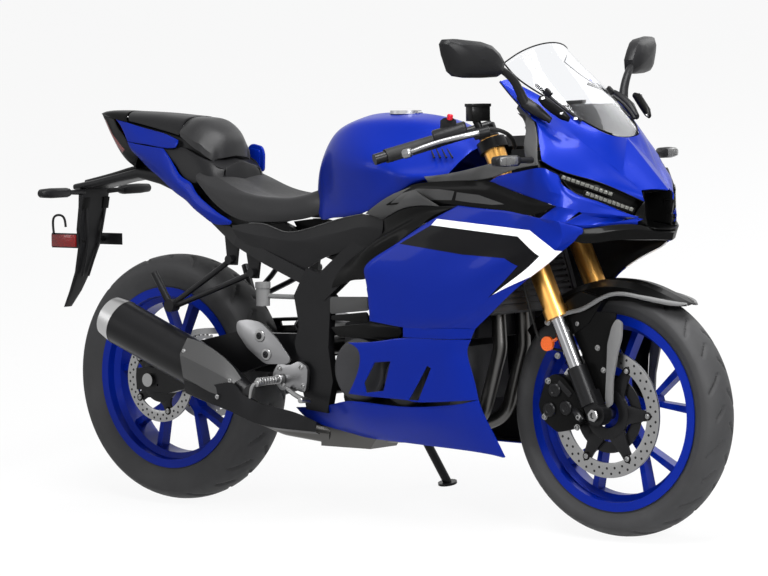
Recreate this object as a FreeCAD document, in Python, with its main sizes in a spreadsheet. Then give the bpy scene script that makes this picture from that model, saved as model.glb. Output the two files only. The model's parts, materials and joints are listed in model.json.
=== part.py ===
"""Sport motorcycle, fully faired, parked on its side stand.

Upright machine frame: X forward from the rear axle, Y to the rider's left, Z up from the
ground, millimetres. Every node is built upright and gets one placement that leans it.
"""
import FreeCAD
import Part
import math
import os

V = FreeCAD.Vector
X, Y, Z = V(1, 0, 0), V(0, 1, 0), V(0, 0, 1)
os.makedirs("parts", exist_ok=True)
doc = FreeCAD.newDocument("sport_bike")

# Driving sizes: (name, value, meaning)
SIZES = [
    ("wheelbase", 1380, "rear axle to front axle"),
    ("lean_angle", 11, "lean to the left on the side stand"),
    ("rake", 25, "steering axis, back from upright"),
    ("trail", 95, "front contact point to where the steering axis meets the ground"),
    # tyres and rims
    ("front_tyre_r", 293, "front tyre radius"),
    ("front_tyre_w", 110, "front tyre width"),
    ("rear_tyre_r", 314, "rear tyre radius"),
    ("rear_tyre_w", 140, "rear tyre width"),
    ("tyre_wall", 7, "tyre carcass"),
    ("bead_r", 216, "bead seat radius of a 17 inch rim"),
    ("flange_h", 14, "rim flange above the bead seat"),
    ("front_rim_w", 90, "front rim over its flanges"),
    ("rear_rim_w", 114, "rear rim over its flanges"),
    ("rim_wall", 5, "rim barrel wall"),
    ("well_drop", 18, "rim well below the bead seat"),
    ("spoke_w", 26, "spoke stem width"),
    ("branch_w", 17, "spoke branch width"),
    ("spoke_fork_r", 112, "radius where a spoke forks"),
    ("spoke_spread", 14, "half angle between the two branches at the rim"),
    ("spoke_depth", 30, "spoke along the axle"),
    ("hub_r", 34, "hub barrel radius"),
    ("front_hub_w", 96, "front hub along the axle"),
    ("rear_hub_w", 120, "rear hub along the axle"),
    ("axle_r", 8.5, "front axle radius"),
    ("rear_axle_r", 10, "rear axle radius"),
    ("run_fit", 0.06, "radial clearance of a turning bore"),
    ("side_fit", 0.4, "gap beside a turning piece"),
    # brakes
    ("front_disc_r", 149, "front disc radius"),
    ("rear_disc_r", 110, "rear disc radius"),
    ("disc_t", 4.5, "disc thickness"),
    ("front_disc_y", 66, "front disc's inner face from the middle"),
    ("rear_disc_y", 84, "rear disc's inner face from the middle"),
    ("disc_band", 36, "front braking band across"),
    ("rear_disc_band", 34, "rear braking band across"),
    ("disc_hole_r", 3, "drilled hole in a disc"),
    # fork and steering
    ("fork_y", 96, "fork tube from the middle"),
    ("fork_offset", 26, "fork tube ahead of the steering axis"),
    ("gold_r", 26, "outer fork tube radius"),
    ("chrome_r", 18.5, "inner fork tube radius"),
    ("gold_foot_z", 512, "height of the outer tube's lower end"),
    ("gold_top_z", 926, "height of the outer tube's upper end"),
    ("foot_top_z", 400, "height of the foot casting's top"),
    ("lower_clamp_z", 722, "height of the lower clamp"),
    ("upper_clamp_z", 900, "height of the upper clamp"),
    ("clamp_t", 26, "clamp thickness"),
    ("stem_r", 15, "steering stem radius"),
    ("head_tube_r", 30, "head tube outer radius"),
    ("bar_r", 11, "handlebar tube radius"),
    ("grip_r", 16.5, "grip radius"),
    ("bar_end_w", 338, "bar end from the middle"),
    # final drive
    ("pivot_x", 564, "swingarm pivot ahead of the rear axle"),
    ("pivot_z", 421, "swingarm pivot height"),
    ("pivot_barrel_r", 22, "swingarm pivot barrel"),
    ("pivot_bolt_r", 9, "swingarm pivot shaft"),
    ("arm_in_y", 100, "swingarm's inner face"),
    ("arm_w", 25, "swingarm beam thickness"),
    ("chain_pitch", 15.875, "chain pitch"),
    ("chain_y", 86, "chain line"),
    ("chain_w", 16, "chain over its plates"),
    ("chain_h", 15, "chain plate height"),
    ("chain_plate_t", 2.2, "chain plate"),
    ("roller_r", 5.08, "chain roller"),
    ("rear_teeth", 43, "rear sprocket teeth"),
    ("front_teeth", 14, "drive sprocket teeth"),
    ("drive_x", 640, "drive sprocket ahead of the rear axle"),
    ("drive_z", 428, "drive sprocket height"),
    ("tooth_gap", 0.6, "sprocket tip under the fixed chain's rollers"),
    # frame
    ("plate_y", 128, "pivot plate's inner face"),
    ("plate_t", 22, "pivot plate thickness"),
    ("beam_h", 62, "main beam height"),
    ("beam_t", 24, "main beam thickness"),
    ("rail_h", 34, "rear rail height"),
    ("rail_t", 18, "rear rail thickness"),
    # bodywork
    ("skin", 4, "moulded panel thickness"),
    ("panel_gap", 2, "gap between two panels"),
    ("screen_t", 4, "windscreen thickness"),
    ("fender_gap", 14, "front fender over the tyre"),
    ("fender_t", 3.5, "front fender thickness"),
    # exhaust
    ("pipe_r", 17, "header pipe radius"),
    ("silencer_r", 57, "silencer radius"),
    ("silencer_y", 188, "silencer from the middle"),
    # rear plate bracket
    ("plate_x", -338, "plate bracket's rear face"),
    ("plate_z", 658, "height of the plate bracket's bolts"),
    ("plate_arm_w", 158, "plate bracket's arm end from the middle"),
    ("plate_hole_y", 117, "plate bolt from the middle"),
    ("plate_hole_r", 3.2, "plate bolt hole radius"),
    # stand
    ("stand_pivot_x", 575, "side stand pivot ahead of the rear axle"),
    ("stand_pivot_y", 166, "side stand pivot to the left"),
    ("stand_pivot_z", 292, "side stand pivot height"),
    ("stand_r", 11, "side stand leg radius"),
    ("stand_eye_t", 18, "side stand eye along its pin"),
    ("stand_pin_r", 7, "side stand pin"),
    ("stand_foot_x", 642, "side stand foot ahead of the rear axle"),
    ("stand_foot_y", 270, "side stand foot to the left"),
    ("crown_ratio", 0.55, "tyre crown radius as a part of its width"),
    # filler
    ("cap_r", 38, "fuel cap radius"),
    ("cap_x", 742, "fuel cap ahead of the rear axle"),
    ("cap_floor_z", 983, "height of the floor the fuel cap lies on"),
    ("cap_t", 8, "fuel cap thickness"),
    ("cap_hinge_x", 5, "fuel cap's hinge pin ahead of its rim"),
    ("cap_hinge_z", 986, "height of the fuel cap's hinge pin"),
    ("cap_pin_r", 3, "fuel cap's hinge barrel radius"),
    ("cap_pin_w", 16, "fuel cap's hinge barrel along its pin"),
    ("cap_fit", 0.5, "gap round the fuel cap and its hinge"),
    ("neck_r", 24, "filler neck radius"),
    ("neck_depth", 46, "filler neck depth"),
]

sheet = doc.addObject("Spreadsheet::Sheet", "Sizes")
for row, (name, value, meaning) in enumerate(SIZES, start=1):
    sheet.set("A%d" % row, name)
    sheet.set("B%d" % row, str(value))
    sheet.set("C%d" % row, meaning)
    sheet.setAlias("B%d" % row, name)
doc.recompute()


class Values:
    """The sheet's sizes as attributes."""


D = Values()
for name, value, meaning in SIZES:
    setattr(D, name, float(sheet.get(name)))

# Frames of reference
rake = math.radians(D.rake)
lean = math.radians(D.lean_angle)
AXIS = V(-math.sin(rake), 0, math.cos(rake))
AHEAD = V(math.cos(rake), 0, math.sin(rake))
GROUND_PT = V(D.wheelbase + D.trail, 0, 0)
FRONT_AXLE = V(D.wheelbase, 0, D.front_tyre_r)
REAR_AXLE = V(0, 0, D.rear_tyre_r)
DRAWN_BASE = 1380.0
HEAD_X = 1100.0


def sx(x):
    """A station as drawn, moved with the wheelbase: the tail and engine stay with the
    swingarm pivot, the nose goes with the steering head, the middle shares the change."""
    change = D.wheelbase - DRAWN_BASE
    share = (x - D.pivot_x) / (HEAD_X - D.pivot_x)
    return x + change * min(1.0, max(0.0, share))


def on_axis(height, ahead=0.0, side=0.0):
    """A point at a height on the steering axis, moved ahead square to it and sideways."""
    base = GROUND_PT + AXIS * (height / math.cos(rake))
    return base + AHEAD * ahead + Y * side


# Document helpers
def feature(label, shape, placement=None):
    if len(shape.Solids) == 0:
        raise ValueError(label + " has no solid")
    obj = doc.addObject("Part::Feature", label)
    obj.Shape = shape
    if placement:
        obj.Placement = placement
    return obj


def bound(kind, label, at, axis=Z, **sizes):
    """A primitive whose sizes are bound to the sheet, its own Z along the given axis."""
    obj = doc.addObject("Part::" + kind, label)
    for prop, expression in sizes.items():
        obj.setExpression(prop, expression)
    obj.Placement = FreeCAD.Placement(at, FreeCAD.Rotation(Z, axis))
    return obj


def fuse(label, objects):
    obj = doc.addObject("Part::MultiFuse", label)
    obj.Shapes = objects
    return obj


def cut(label, base, tool):
    obj = doc.addObject("Part::Cut", label)
    obj.Base = base
    obj.Tool = tool
    return obj


def mirrored(obj):
    other = doc.addObject("Part::Mirroring", obj.Name + "_left")
    other.Source = obj
    other.Normal = Y
    other.Base = V(0, 0, 0)
    return other


NODES = []


def node(name, *objects):
    NODES.append((name, objects))


# Shape helpers
def cylinder(p, q, r):
    axis = q - p
    return Part.makeCylinder(r, axis.Length, p, axis)


def ring(centre, axis, r_out, r_in, length):
    outer = Part.makeCylinder(r_out, length, centre, axis)
    return outer.cut(Part.makeCylinder(r_in, length + 2, centre - axis * 1, axis))


def side_plate(outline, y_from, y_to):
    """An outline in side view (x, z), thick from one y to the other."""
    points = [V(x, y_from, z) for x, z in outline]
    face = Part.Face(Part.makePolygon(points + [points[0]]))
    return face.extrude(V(0, y_to - y_from, 0))


def rounded(shape, radius, direction=None):
    """Round the edges that run along a direction, or all of them."""
    edges = []
    for e in shape.Edges:
        if direction is None:
            edges.append(e)
        elif len(e.Vertexes) == 2:
            run = (e.Vertexes[1].Point - e.Vertexes[0].Point)
            if run.Length > 0.1 and abs(run.normalize().dot(direction)) > 0.999:
                edges.append(e)
    return shape.makeFillet(radius, edges)


def tube_path(points, radius, bend):
    """A round bar along straight runs joined by arcs."""
    edges = []
    start = points[0]
    for before, corner, after in zip(points, points[1:], points[2:]):
        u = (before - corner).normalize()
        w = (after - corner).normalize()
        half = math.acos(max(-1.0, min(1.0, u.dot(w)))) / 2
        reach = bend / math.tan(half)
        reach = min(reach, 0.45 * min((before - corner).Length, (after - corner).Length))
        r = reach * math.tan(half)
        a, b = corner + u * reach, corner + w * reach
        centre = corner + (u + w).normalize() * (r / math.sin(half))
        mid = centre + (corner - centre).normalize() * r
        edges.append(Part.LineSegment(start, a).toShape())
        edges.append(Part.Arc(a, mid, b).toShape())
        start = b
    edges.append(Part.LineSegment(start, points[-1]).toShape())
    path = Part.Wire(edges)
    first = (points[1] - points[0]).normalize()
    profile = Part.Wire(Part.makeCircle(radius, points[0], first))
    return path.makePipeShell([profile], True, True)


def beam(stations):
    """A box beam through (point, half thickness along y, half height) stations."""
    wires = []
    for i, (p, t, h) in enumerate(stations):
        ahead = stations[min(i + 1, len(stations) - 1)][0] - stations[max(i - 1, 0)][0]
        ahead = V(ahead.x, 0, ahead.z).normalize()
        up = ahead.cross(Y) * -1
        corners = [p + Y * a * t + up * b * h for a, b in ((-1, -1), (1, -1), (1, 1), (-1, 1))]
        wires.append(Part.makePolygon(corners + [corners[0]]))
    return Part.makeLoft(wires, True, True)


def closed_spline(points):
    curve = Part.BSplineCurve()
    curve.interpolate(points, PeriodicFlag=True)
    return Part.Wire(curve.toShape())


def body_loft(sections, smooth=True):
    """A form across the middle plane. Each section is (x, [(w, z) from the bottom middle up
    to the top middle]) and is mirrored to the other side."""
    wires = []
    for x, half in sections:
        right = [V(sx(x), -w, z) for w, z in half]
        left = [V(sx(x), w, z) for w, z in reversed(half[1:-1])]
        points = right + left
        if smooth:
            wires.append(closed_spline(points))
        else:
            wires.append(Part.makePolygon(points + [points[0]]))
    return Part.makeLoft(wires, True, False)


def inset(points, t):
    """An open line of (w, z) points, walked from the top down the outside, moved inwards."""
    out = []
    for i, (w, z) in enumerate(points):
        a = points[max(i - 1, 0)]
        b = points[min(i + 1, len(points) - 1)]
        dw, dz = b[0] - a[0], b[1] - a[1]
        length = math.hypot(dw, dz)
        inner = w + dz / length * t if w > 0 else 0.0
        out.append((max(inner, 0.0), z - dw / length * t))
    return out


def skin_loft(sections, t, ruled=False):
    """A moulded skin on the right side: sections (x, [(w, z) outer points])."""
    wires = []
    for x, outer in sections:
        loop = outer + list(reversed(inset(outer, t)))
        points = [V(sx(x), -w, z) for w, z in loop]
        wires.append(Part.makePolygon(points + [points[0]]))
    return Part.makeLoft(wires, True, ruled)


def carve(shape, *tools):
    """Cut tools away one after another and keep the largest solid."""
    for tool in tools:
        for solid in tool.Solids:
            if shape.BoundBox.intersect(solid.BoundBox):
                shape = max(shape.cut(solid).Solids, key=lambda s: s.Volume)
    return shape


def trimmer(outline, w_from, w_to):
    return side_plate([(sx(x), z) for x, z in outline], -w_from, -w_to)


# Wheels
def tyre(centre, radius, width, rim_w):
    """A hollow tyre: round crown, side walls down to the beads."""
    half, seat = width / 2, rim_w / 2 - 4
    bead = D.bead_r + 0.3
    crown = radius - (radius - bead) * 0.5
    drop = (width / 4) ** 2 / (2 * D.crown_ratio * width)
    outer = [(-seat, bead), (-seat + 1, bead + 16), (-half, crown), (-half * 0.86, radius - 24),
             (-half * 0.5, radius - drop), (0, radius)]
    outer += [(-y, r) for y, r in reversed(outer[:-1])]
    inner = [(-seat + 9, bead), (-seat + 8, bead + 14), (-half + D.tyre_wall, crown),
             (-half * 0.86 + D.tyre_wall, radius - 29), (-half * 0.45, radius - drop - 2 - D.tyre_wall),
             (0, radius - 2 - D.tyre_wall)]
    inner += [(-y, r) for y, r in reversed(inner[:-1])]
    edges = []
    for line in (outer, inner):
        curve = Part.BSplineCurve()
        curve.interpolate([centre + V(0, y, r) for y, r in line])
        edges.append(curve.toShape())
    for a, b in ((outer[0], inner[0]), (outer[-1], inner[-1])):
        edges.append(Part.LineSegment(centre + V(0, *a), centre + V(0, *b)).toShape())
    face = Part.Face(Part.Wire(Part.sortEdges(edges)[0]))
    return face.revolve(centre, Y, 360)


def rim(centre, rim_w, hub_w, axle_r):
    half = rim_w / 2
    seat_r, flange = D.bead_r, D.bead_r + D.flange_h
    well = seat_r - D.well_drop
    t = D.rim_wall
    outer = [(-half, flange), (-half + 3.6, flange), (-half + 4, seat_r), (-half + 17, seat_r),
             (-half + 27, well)]
    inner = [(-half, seat_r - t - 2), (-half + 20, seat_r - t - 4), (-half + 30, well - t)]
    right = [centre + V(0, y, r) for y, r in outer]
    left = [centre + V(0, -y, r) for y, r in reversed(outer)]
    under = [centre + V(0, -y, r) for y, r in inner]
    back = [centre + V(0, y, r) for y, r in reversed(inner)]
    loop = right + left + under + back
    barrel = Part.Face(Part.makePolygon(loop + [loop[0]])).revolve(centre, Y, 360)
    hub = Part.makeCylinder(D.hub_r, hub_w, centre - Y * hub_w / 2, Y)
    spoke_in = well - t - 0.5
    spokes = []
    d = D.spoke_depth / 2
    for k in range(5):
        stem = [V(-D.spoke_w / 2 - 3, 0, D.hub_r - 5), V(D.spoke_w / 2 + 3, 0, D.hub_r - 5),
                V(D.spoke_w / 2 - 1, 0, D.spoke_fork_r), V(-D.spoke_w / 2 + 1, 0, D.spoke_fork_r)]
        pieces = [stem]
        for side in (-1, 1):
            a = math.radians(D.spoke_spread) * side
            tip = V(math.sin(a), 0, math.cos(a)) * (spoke_in + 3)
            across = V(math.cos(a), 0, -math.sin(a)) * D.branch_w / 2
            root = V(side * D.spoke_w / 4, 0, D.spoke_fork_r - 12)
            wide = V(D.spoke_w / 4, 0, 0)
            pieces.append([root - wide, root + wide, tip + across, tip - across])
        for piece in pieces:
            face = Part.Face(Part.makePolygon([p - Y * d for p in piece + [piece[0]]]))
            spokes.append(face.extrude(Y * 2 * d))
        for s in spokes[-3:]:
            s.rotate(V(0, 0, 0), Y, 72 * k)
            s.translate(centre)
    whole = barrel.fuse(spokes + [hub]).removeSplitter()
    bore = Part.makeCylinder(axle_r + D.run_fit, hub_w + 4, centre - Y * (hub_w / 2 + 2), Y)
    return whole.cut(bore)


def disc(centre, radius, band, y_in, holes, rows, carrier_r, arms):
    """A drilled brake disc on a carrier with arms, inner face at -y_in."""
    t = D.disc_t
    at = centre - Y * (y_in + t)
    plate = ring(at, Y, radius, radius - band, t)
    drills = []
    for k in range(holes):
        a = 2 * math.pi * k / holes
        r = radius - band * (0.22 + 0.28 * (k % rows))
        p = at + V(math.sin(a) * r, -1, math.cos(a) * r)
        drills.append(Part.makeCylinder(D.disc_hole_r, t + 2, p, Y))
    plate = plate.cut(Part.makeCompound(drills))
    spider = Part.makeCylinder(carrier_r, t, at, Y)
    for k in range(arms):
        arm = Part.makeBox(24, t, radius - band + 7, V(-12, 0, 0))
        arm.rotate(V(0, 0, 0), Y, 360 * k / arms)
        arm.translate(at)
        spider = spider.fuse(arm)
    return plate.fuse(spider).cut(Part.makeCylinder(D.hub_r - 8, t + 2, at - Y, Y))


front_tyre = feature("front_tyre_body", tyre(FRONT_AXLE, D.front_tyre_r, D.front_tyre_w, D.front_rim_w))
rear_tyre = feature("rear_tyre_body", tyre(REAR_AXLE, D.rear_tyre_r, D.rear_tyre_w, D.rear_rim_w))
front_rim = feature("front_rim_body", rim(FRONT_AXLE, D.front_rim_w, D.front_hub_w, D.axle_r))
rear_rim = feature("rear_rim_body", rim(REAR_AXLE, D.rear_rim_w, D.rear_hub_w, D.rear_axle_r))
front_hub_end = D.front_hub_w / 2
rear_hub_end = D.rear_hub_w / 2
front_disc = disc(FRONT_AXLE, D.front_disc_r, D.disc_band, D.front_disc_y, 30, 3, 62, 6)
front_boss = ring(FRONT_AXLE - Y * D.front_disc_y, Y, D.hub_r + 8, D.hub_r - 8,
                  D.front_disc_y - front_hub_end)
front_disc_obj = feature("front_disc_body", front_disc.fuse(front_boss))
rear_disc = disc(REAR_AXLE, D.rear_disc_r, D.rear_disc_band, D.rear_disc_y, 24, 3, 55, 5)
rear_boss = ring(REAR_AXLE - Y * D.rear_disc_y, Y, D.hub_r + 6, D.hub_r - 8,
                 D.rear_disc_y - rear_hub_end)
rear_disc_obj = feature("rear_disc_body", rear_disc.fuse(rear_boss))
node("front_tyre", front_tyre)
node("rear_tyre", rear_tyre)
node("front_rim", front_rim)
node("rear_rim", rear_rim)
node("front_disc", front_disc_obj)
node("rear_disc", rear_disc_obj)


# Final drive
def pitch_radius(teeth):
    return D.chain_pitch / (2 * math.sin(math.pi / teeth))


def sprocket(centre, teeth, y_mid, thickness, tip_gap):
    tip = pitch_radius(teeth) - D.roller_r - tip_gap
    root = tip - 5
    points = []
    for k in range(int(teeth)):
        for part, r in ((0.0, root), (0.22, root), (0.4, tip), (0.6, tip), (0.78, root)):
            a = 2 * math.pi * (k + part) / teeth
            points.append(centre + V(math.sin(a) * r, y_mid - thickness / 2, math.cos(a) * r))
    face = Part.Face(Part.makePolygon(points + [points[0]]))
    return face.extrude(Y * thickness)


def stadium(c1, r1, c2, r2, y_from, y_to):
    """The outline of a belt round two circles, as a solid slab."""
    along = c2 - c1
    dist = along.Length
    base = math.atan2(along.z, along.x)
    tilt = math.acos((r1 - r2) / dist)
    up1 = c1 + V(math.cos(base + tilt), 0, math.sin(base + tilt)) * r1
    up2 = c2 + V(math.cos(base + tilt), 0, math.sin(base + tilt)) * r2
    lo1 = c1 + V(math.cos(base - tilt), 0, math.sin(base - tilt)) * r1
    lo2 = c2 + V(math.cos(base - tilt), 0, math.sin(base - tilt)) * r2
    back = c1 - V(math.cos(base), 0, math.sin(base)) * r1
    front = c2 + V(math.cos(base), 0, math.sin(base)) * r2
    wire = Part.Wire([Part.LineSegment(up1, up2).toShape(), Part.Arc(up2, front, lo2).toShape(),
                      Part.LineSegment(lo2, lo1).toShape(), Part.Arc(lo1, back, up1).toShape()])
    face = Part.Face(wire)
    face.translate(Y * y_from)
    return face.extrude(Y * (y_to - y_from))


DRIVE = V(D.drive_x, 0, D.drive_z)
r_rear, r_front = pitch_radius(D.rear_teeth), pitch_radius(D.front_teeth)
plates = []
h = D.chain_h / 2
for y0 in (D.chain_y - D.chain_w / 2, D.chain_y + D.chain_w / 2 - D.chain_plate_t):
    outer = stadium(REAR_AXLE, r_rear + h, DRIVE, r_front + h, y0, y0 + D.chain_plate_t)
    inner = stadium(REAR_AXLE, r_rear - h, DRIVE, r_front - h, y0 - 1, y0 + D.chain_plate_t + 1)
    plates.append(outer.cut(inner))


def belt_points(c1, r1, c2, r2, count):
    """Points evenly spread along the belt line."""
    along = c2 - c1
    base = math.atan2(along.z, along.x)
    tilt = math.acos((r1 - r2) / along.Length)
    run = math.sqrt(along.Length ** 2 - (r1 - r2) ** 2)
    arc1, arc2 = r1 * (2 * math.pi - 2 * tilt), r2 * 2 * tilt
    total = 2 * run + arc1 + arc2
    points = []
    for k in range(count):
        s = total * k / count
        if s < run:
            a = base + tilt
            p = c1 + V(math.cos(a), 0, math.sin(a)) * r1
            q = c2 + V(math.cos(a), 0, math.sin(a)) * r2
            points.append(p + (q - p) * (s / run))
        elif s < run + arc2:
            a = base + tilt - (s - run) / r2
            points.append(c2 + V(math.cos(a), 0, math.sin(a)) * r2)
        elif s < 2 * run + arc2:
            a = base - tilt
            p = c2 + V(math.cos(a), 0, math.sin(a)) * r2
            q = c1 + V(math.cos(a), 0, math.sin(a)) * r1
            points.append(p + (q - p) * ((s - run - arc2) / run))
        else:
            a = base - tilt - (s - 2 * run - arc2) / r1
            points.append(c1 + V(math.cos(a), 0, math.sin(a)) * r1)
    return points, total


belt_length = belt_points(REAR_AXLE, r_rear, DRIVE, r_front, 4)[1]
link_count = int(round(belt_length / D.chain_pitch / 2)) * 2
rollers = []
inside = D.chain_w - 2 * D.chain_plate_t
for p in belt_points(REAR_AXLE, r_rear, DRIVE, r_front, link_count)[0]:
    start = p + Y * (D.chain_y - inside / 2 - 0.5)
    rollers.append(Part.makeCylinder(D.roller_r, inside + 1, start, Y))
chain = plates[0].fuse(plates[1:] + rollers)
node("drive_chain", feature("drive_chain_body", chain))

sprocket_t = 6.0
rear_sprocket = sprocket(REAR_AXLE, D.rear_teeth, D.chain_y, sprocket_t, D.tooth_gap)
carrier = Part.makeCylinder(48, D.chain_y - sprocket_t / 2 - rear_hub_end,
                            REAR_AXLE + Y * rear_hub_end, Y)
windows = []
for k in range(5):
    a = 2 * math.pi * k / 5
    p = REAR_AXLE + V(math.sin(a) * 73, D.chain_y - 10, math.cos(a) * 73)
    windows.append(Part.makeCylinder(17, 20, p, Y))
axle_way = Part.makeCylinder(D.rear_axle_r + 8, 200, REAR_AXLE, Y)
rear_sprocket = rear_sprocket.fuse(carrier).cut(Part.makeCompound(windows)).cut(axle_way)
node("rear_sprocket", feature("rear_sprocket_body", rear_sprocket))
drive_sprocket = sprocket(DRIVE, D.front_teeth, D.chain_y, sprocket_t, 0.3)

# Swingarm and rear axle
axle_z = D.rear_tyre_r
arm_line = [(-46, axle_z - 26), (-46, axle_z + 28), (36, axle_z + 32), (168, D.pivot_z - 2),
            (302, D.pivot_z + 28), (420, D.pivot_z + 26), (D.pivot_x, D.pivot_z + 30),
            (D.pivot_x + 26, D.pivot_z), (D.pivot_x, D.pivot_z - 32), (420, D.pivot_z - 44),
            (250, 330), (60, axle_z - 32)]
arms = []
arm_out = D.arm_in_y + D.arm_w
for side in (-1, 1):
    plate = side_plate(arm_line, side * D.arm_in_y, side * arm_out)
    arms.append(plate)
barrel = Part.makeCylinder(D.pivot_barrel_r, 2 * arm_out, V(D.pivot_x, -arm_out, D.pivot_z), Y)
brace = Part.makeBox(74, 2 * D.arm_in_y + 2, 76, V(332, -D.arm_in_y - 1, D.pivot_z - 72))
swingarm = arms[0].fuse([arms[1], barrel, brace])
pivot_bore = Part.makeCylinder(D.pivot_bolt_r, 400, V(D.pivot_x, -200, D.pivot_z), Y)
axle_bore = Part.makeCylinder(D.rear_axle_r, 400, REAR_AXLE - Y * 200, Y)
spool_r = 3.0
spools = []
for side in (-1, 1):
    p = V(26, side * (arm_out - 14), axle_z - 12)
    spools.append(Part.makeCylinder(spool_r, 16, p, Y * side))
swingarm = swingarm.cut(Part.makeCompound([pivot_bore, axle_bore] + spools)).removeSplitter()
node("swingarm", feature("swingarm_body", swingarm))

rear_axle = Part.makeCylinder(D.rear_axle_r, 2 * arm_out + 8, REAR_AXLE - Y * (arm_out + 4), Y)
nuts = []
for side in (-1, 1):
    p = REAR_AXLE + Y * side * arm_out
    nuts.append(Part.makeCylinder(17, 10, p, Y * side))
spacer_r = D.rear_axle_r + 6
gap = D.side_fit
right_spacer = Part.makeCylinder(spacer_r, D.arm_in_y - rear_hub_end - gap,
                                 REAR_AXLE - Y * D.arm_in_y, Y)
left_spacer = Part.makeCylinder(spacer_r, D.arm_in_y - rear_hub_end - gap,
                                REAR_AXLE + Y * (rear_hub_end + gap), Y)
rear_axle = rear_axle.fuse(nuts + [right_spacer, left_spacer])
node("rear_axle", feature("rear_axle_body", rear_axle))

# Fork and steering
fork_lift = 1 / math.cos(rake)


def fork_point(height, side):
    """A point on a fork tube's axis at a height."""
    p = on_axis(0, D.fork_offset, side)
    return p + AXIS * ((height - p.z) / math.cos(rake))


gold, chrome, feet = [], [], []
for side in (-D.fork_y, D.fork_y):
    low, top = fork_point(D.gold_foot_z, side), fork_point(D.gold_top_z, side)
    tube = cylinder(low, top, D.gold_r)
    collar = cylinder(low, low + AXIS * 26, D.gold_r + 3)
    hole = cylinder(low - AXIS * 2, low + AXIS * 60, D.chrome_r)
    gold.append(tube.fuse(collar).cut(hole))
    chrome_low = fork_point(D.foot_top_z, side)
    chrome.append(cylinder(chrome_low, low + AXIS * 60, D.chrome_r))
    axle_end = FRONT_AXLE + Y * side
    sleeve = cylinder(chrome_low, fork_point(D.front_tyre_r + 22, side), D.chrome_r + 5)
    lug = Part.makeCylinder(25, 30, axle_end - Y * 15, Y)
    neck_top = fork_point(D.front_tyre_r + 44, side)
    neck = Part.makeBox(42, 26, 58, V(-21, -13, 0))
    neck.Placement = FreeCAD.Placement(axle_end - AHEAD * 4, FreeCAD.Rotation(Z, AXIS))
    feet.append(sleeve.fuse([lug, neck]).cut(Part.makeCylinder(D.axle_r, 60, axle_end - Y * 30, Y)))
node("fork_outer", feature("fork_outer_body", Part.makeCompound(gold)))
node("fork_inner", feature("fork_inner_body", Part.makeCompound(chrome)))
node("fork_feet", feature("fork_feet_body", Part.makeCompound(feet)))

front_axle = Part.makeCylinder(D.axle_r, 2 * D.fork_y + 36, FRONT_AXLE - Y * (D.fork_y + 18), Y)
spacers = []
inner_face = D.fork_y - 15
for side in (-1, 1):
    length = inner_face - front_hub_end - D.side_fit
    p = FRONT_AXLE + Y * side * inner_face
    spacers.append(Part.makeCylinder(D.axle_r + 6, length, p, Y * -side))
node("front_axle", feature("front_axle_body", front_axle.fuse(spacers)))


def clamp(height):
    """A fork clamp square to the steering axis, bored for both tubes."""
    centre = on_axis(height)
    reach = D.fork_y + D.gold_r + 9
    r = D.gold_r + 9
    top = []
    for side in (-1, 1):
        top.append(Part.makeCylinder(r, D.clamp_t, V(D.fork_offset, side * D.fork_y, 0), Z))
    web = Part.makeBox(2 * r - 14, 2 * D.fork_y, D.clamp_t, V(D.fork_offset - r + 2, -D.fork_y, 0))
    boss = Part.makeCylinder(D.stem_r + 14, D.clamp_t, V(0, 0, 0), Z)
    whole = web.fuse(top + [boss]).removeSplitter()
    whole.Placement = FreeCAD.Placement(centre - AXIS * D.clamp_t / 2,
                                        FreeCAD.Rotation(AHEAD, Y, AXIS, "XYZ"))
    return whole


stem = cylinder(on_axis(D.lower_clamp_z), on_axis(D.upper_clamp_z), D.stem_r)
clamps = clamp(D.lower_clamp_z).fuse([clamp(D.upper_clamp_z), stem])
for side in (-D.fork_y, D.fork_y):
    clamps = clamps.cut(cylinder(fork_point(D.gold_foot_z, side), fork_point(1000, side), D.gold_r))
node("triple_clamps", feature("triple_clamps_body", clamps))


def bar_point(w, side, ahead=0.0, up=0.0):
    """A point along the swept handlebar at a distance w from the middle."""
    share = (w - D.fork_y) / (D.bar_end_w - D.fork_y)
    root = fork_point(D.gold_top_z + 22, 0)
    x = root.x + 14 - 142 * share + ahead
    z = root.z + 12 - 72 * share + up
    return V(x, side * w, z)


bars, grips, controls = [], [], []
for side in (-1, 1):
    tube_top = fork_point(D.gold_top_z, side * D.fork_y)
    post = cylinder(tube_top, tube_top + AXIS * 34, D.gold_r - 2)
    tube = cylinder(bar_point(D.fork_y, side), bar_point(D.bar_end_w, side), D.bar_r)
    grip_in, grip_end = bar_point(D.bar_end_w - 128, side), bar_point(D.bar_end_w - 14, side)
    weight = cylinder(bar_point(D.bar_end_w - 14, side), bar_point(D.bar_end_w + 10, side), 13)
    bars.append(post.fuse([tube, weight]))
    grips.append(cylinder(grip_in, grip_end, D.grip_r).cut(cylinder(grip_in, grip_end, D.bar_r)))
    box_in, box_out = bar_point(D.bar_end_w - 172, side), bar_point(D.bar_end_w - 132, side)
    switch = cylinder(box_in, box_out, 22)
    perch = bar_point(D.bar_end_w - 160, side, 34, 2)
    perch_arm = cylinder(bar_point(D.bar_end_w - 152, side, 19), perch, 8)
    lever = tube_path([perch, bar_point(D.bar_end_w - 120, side, 56, -2),
                       bar_point(D.bar_end_w - 60, side, 60, -12),
                       bar_point(D.bar_end_w - 4, side, 58, -8)], 6, 40)
    ball = Part.makeSphere(9, bar_point(D.bar_end_w - 4, side, 58, -8))
    tube_way = cylinder(bar_point(0, side), bar_point(D.bar_end_w + 9, side), D.bar_r + 0.1)
    controls.append(switch.fuse([perch_arm, Part.makeSphere(9, perch), lever, ball]).cut(tube_way))
node("handlebars", feature("handlebars_body", Part.makeCompound(bars)))
node("grips", feature("grips_body", Part.makeCompound(grips)))
cup = Part.makeBox(46, 56, 26, V(-23, -28, 0))
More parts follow.
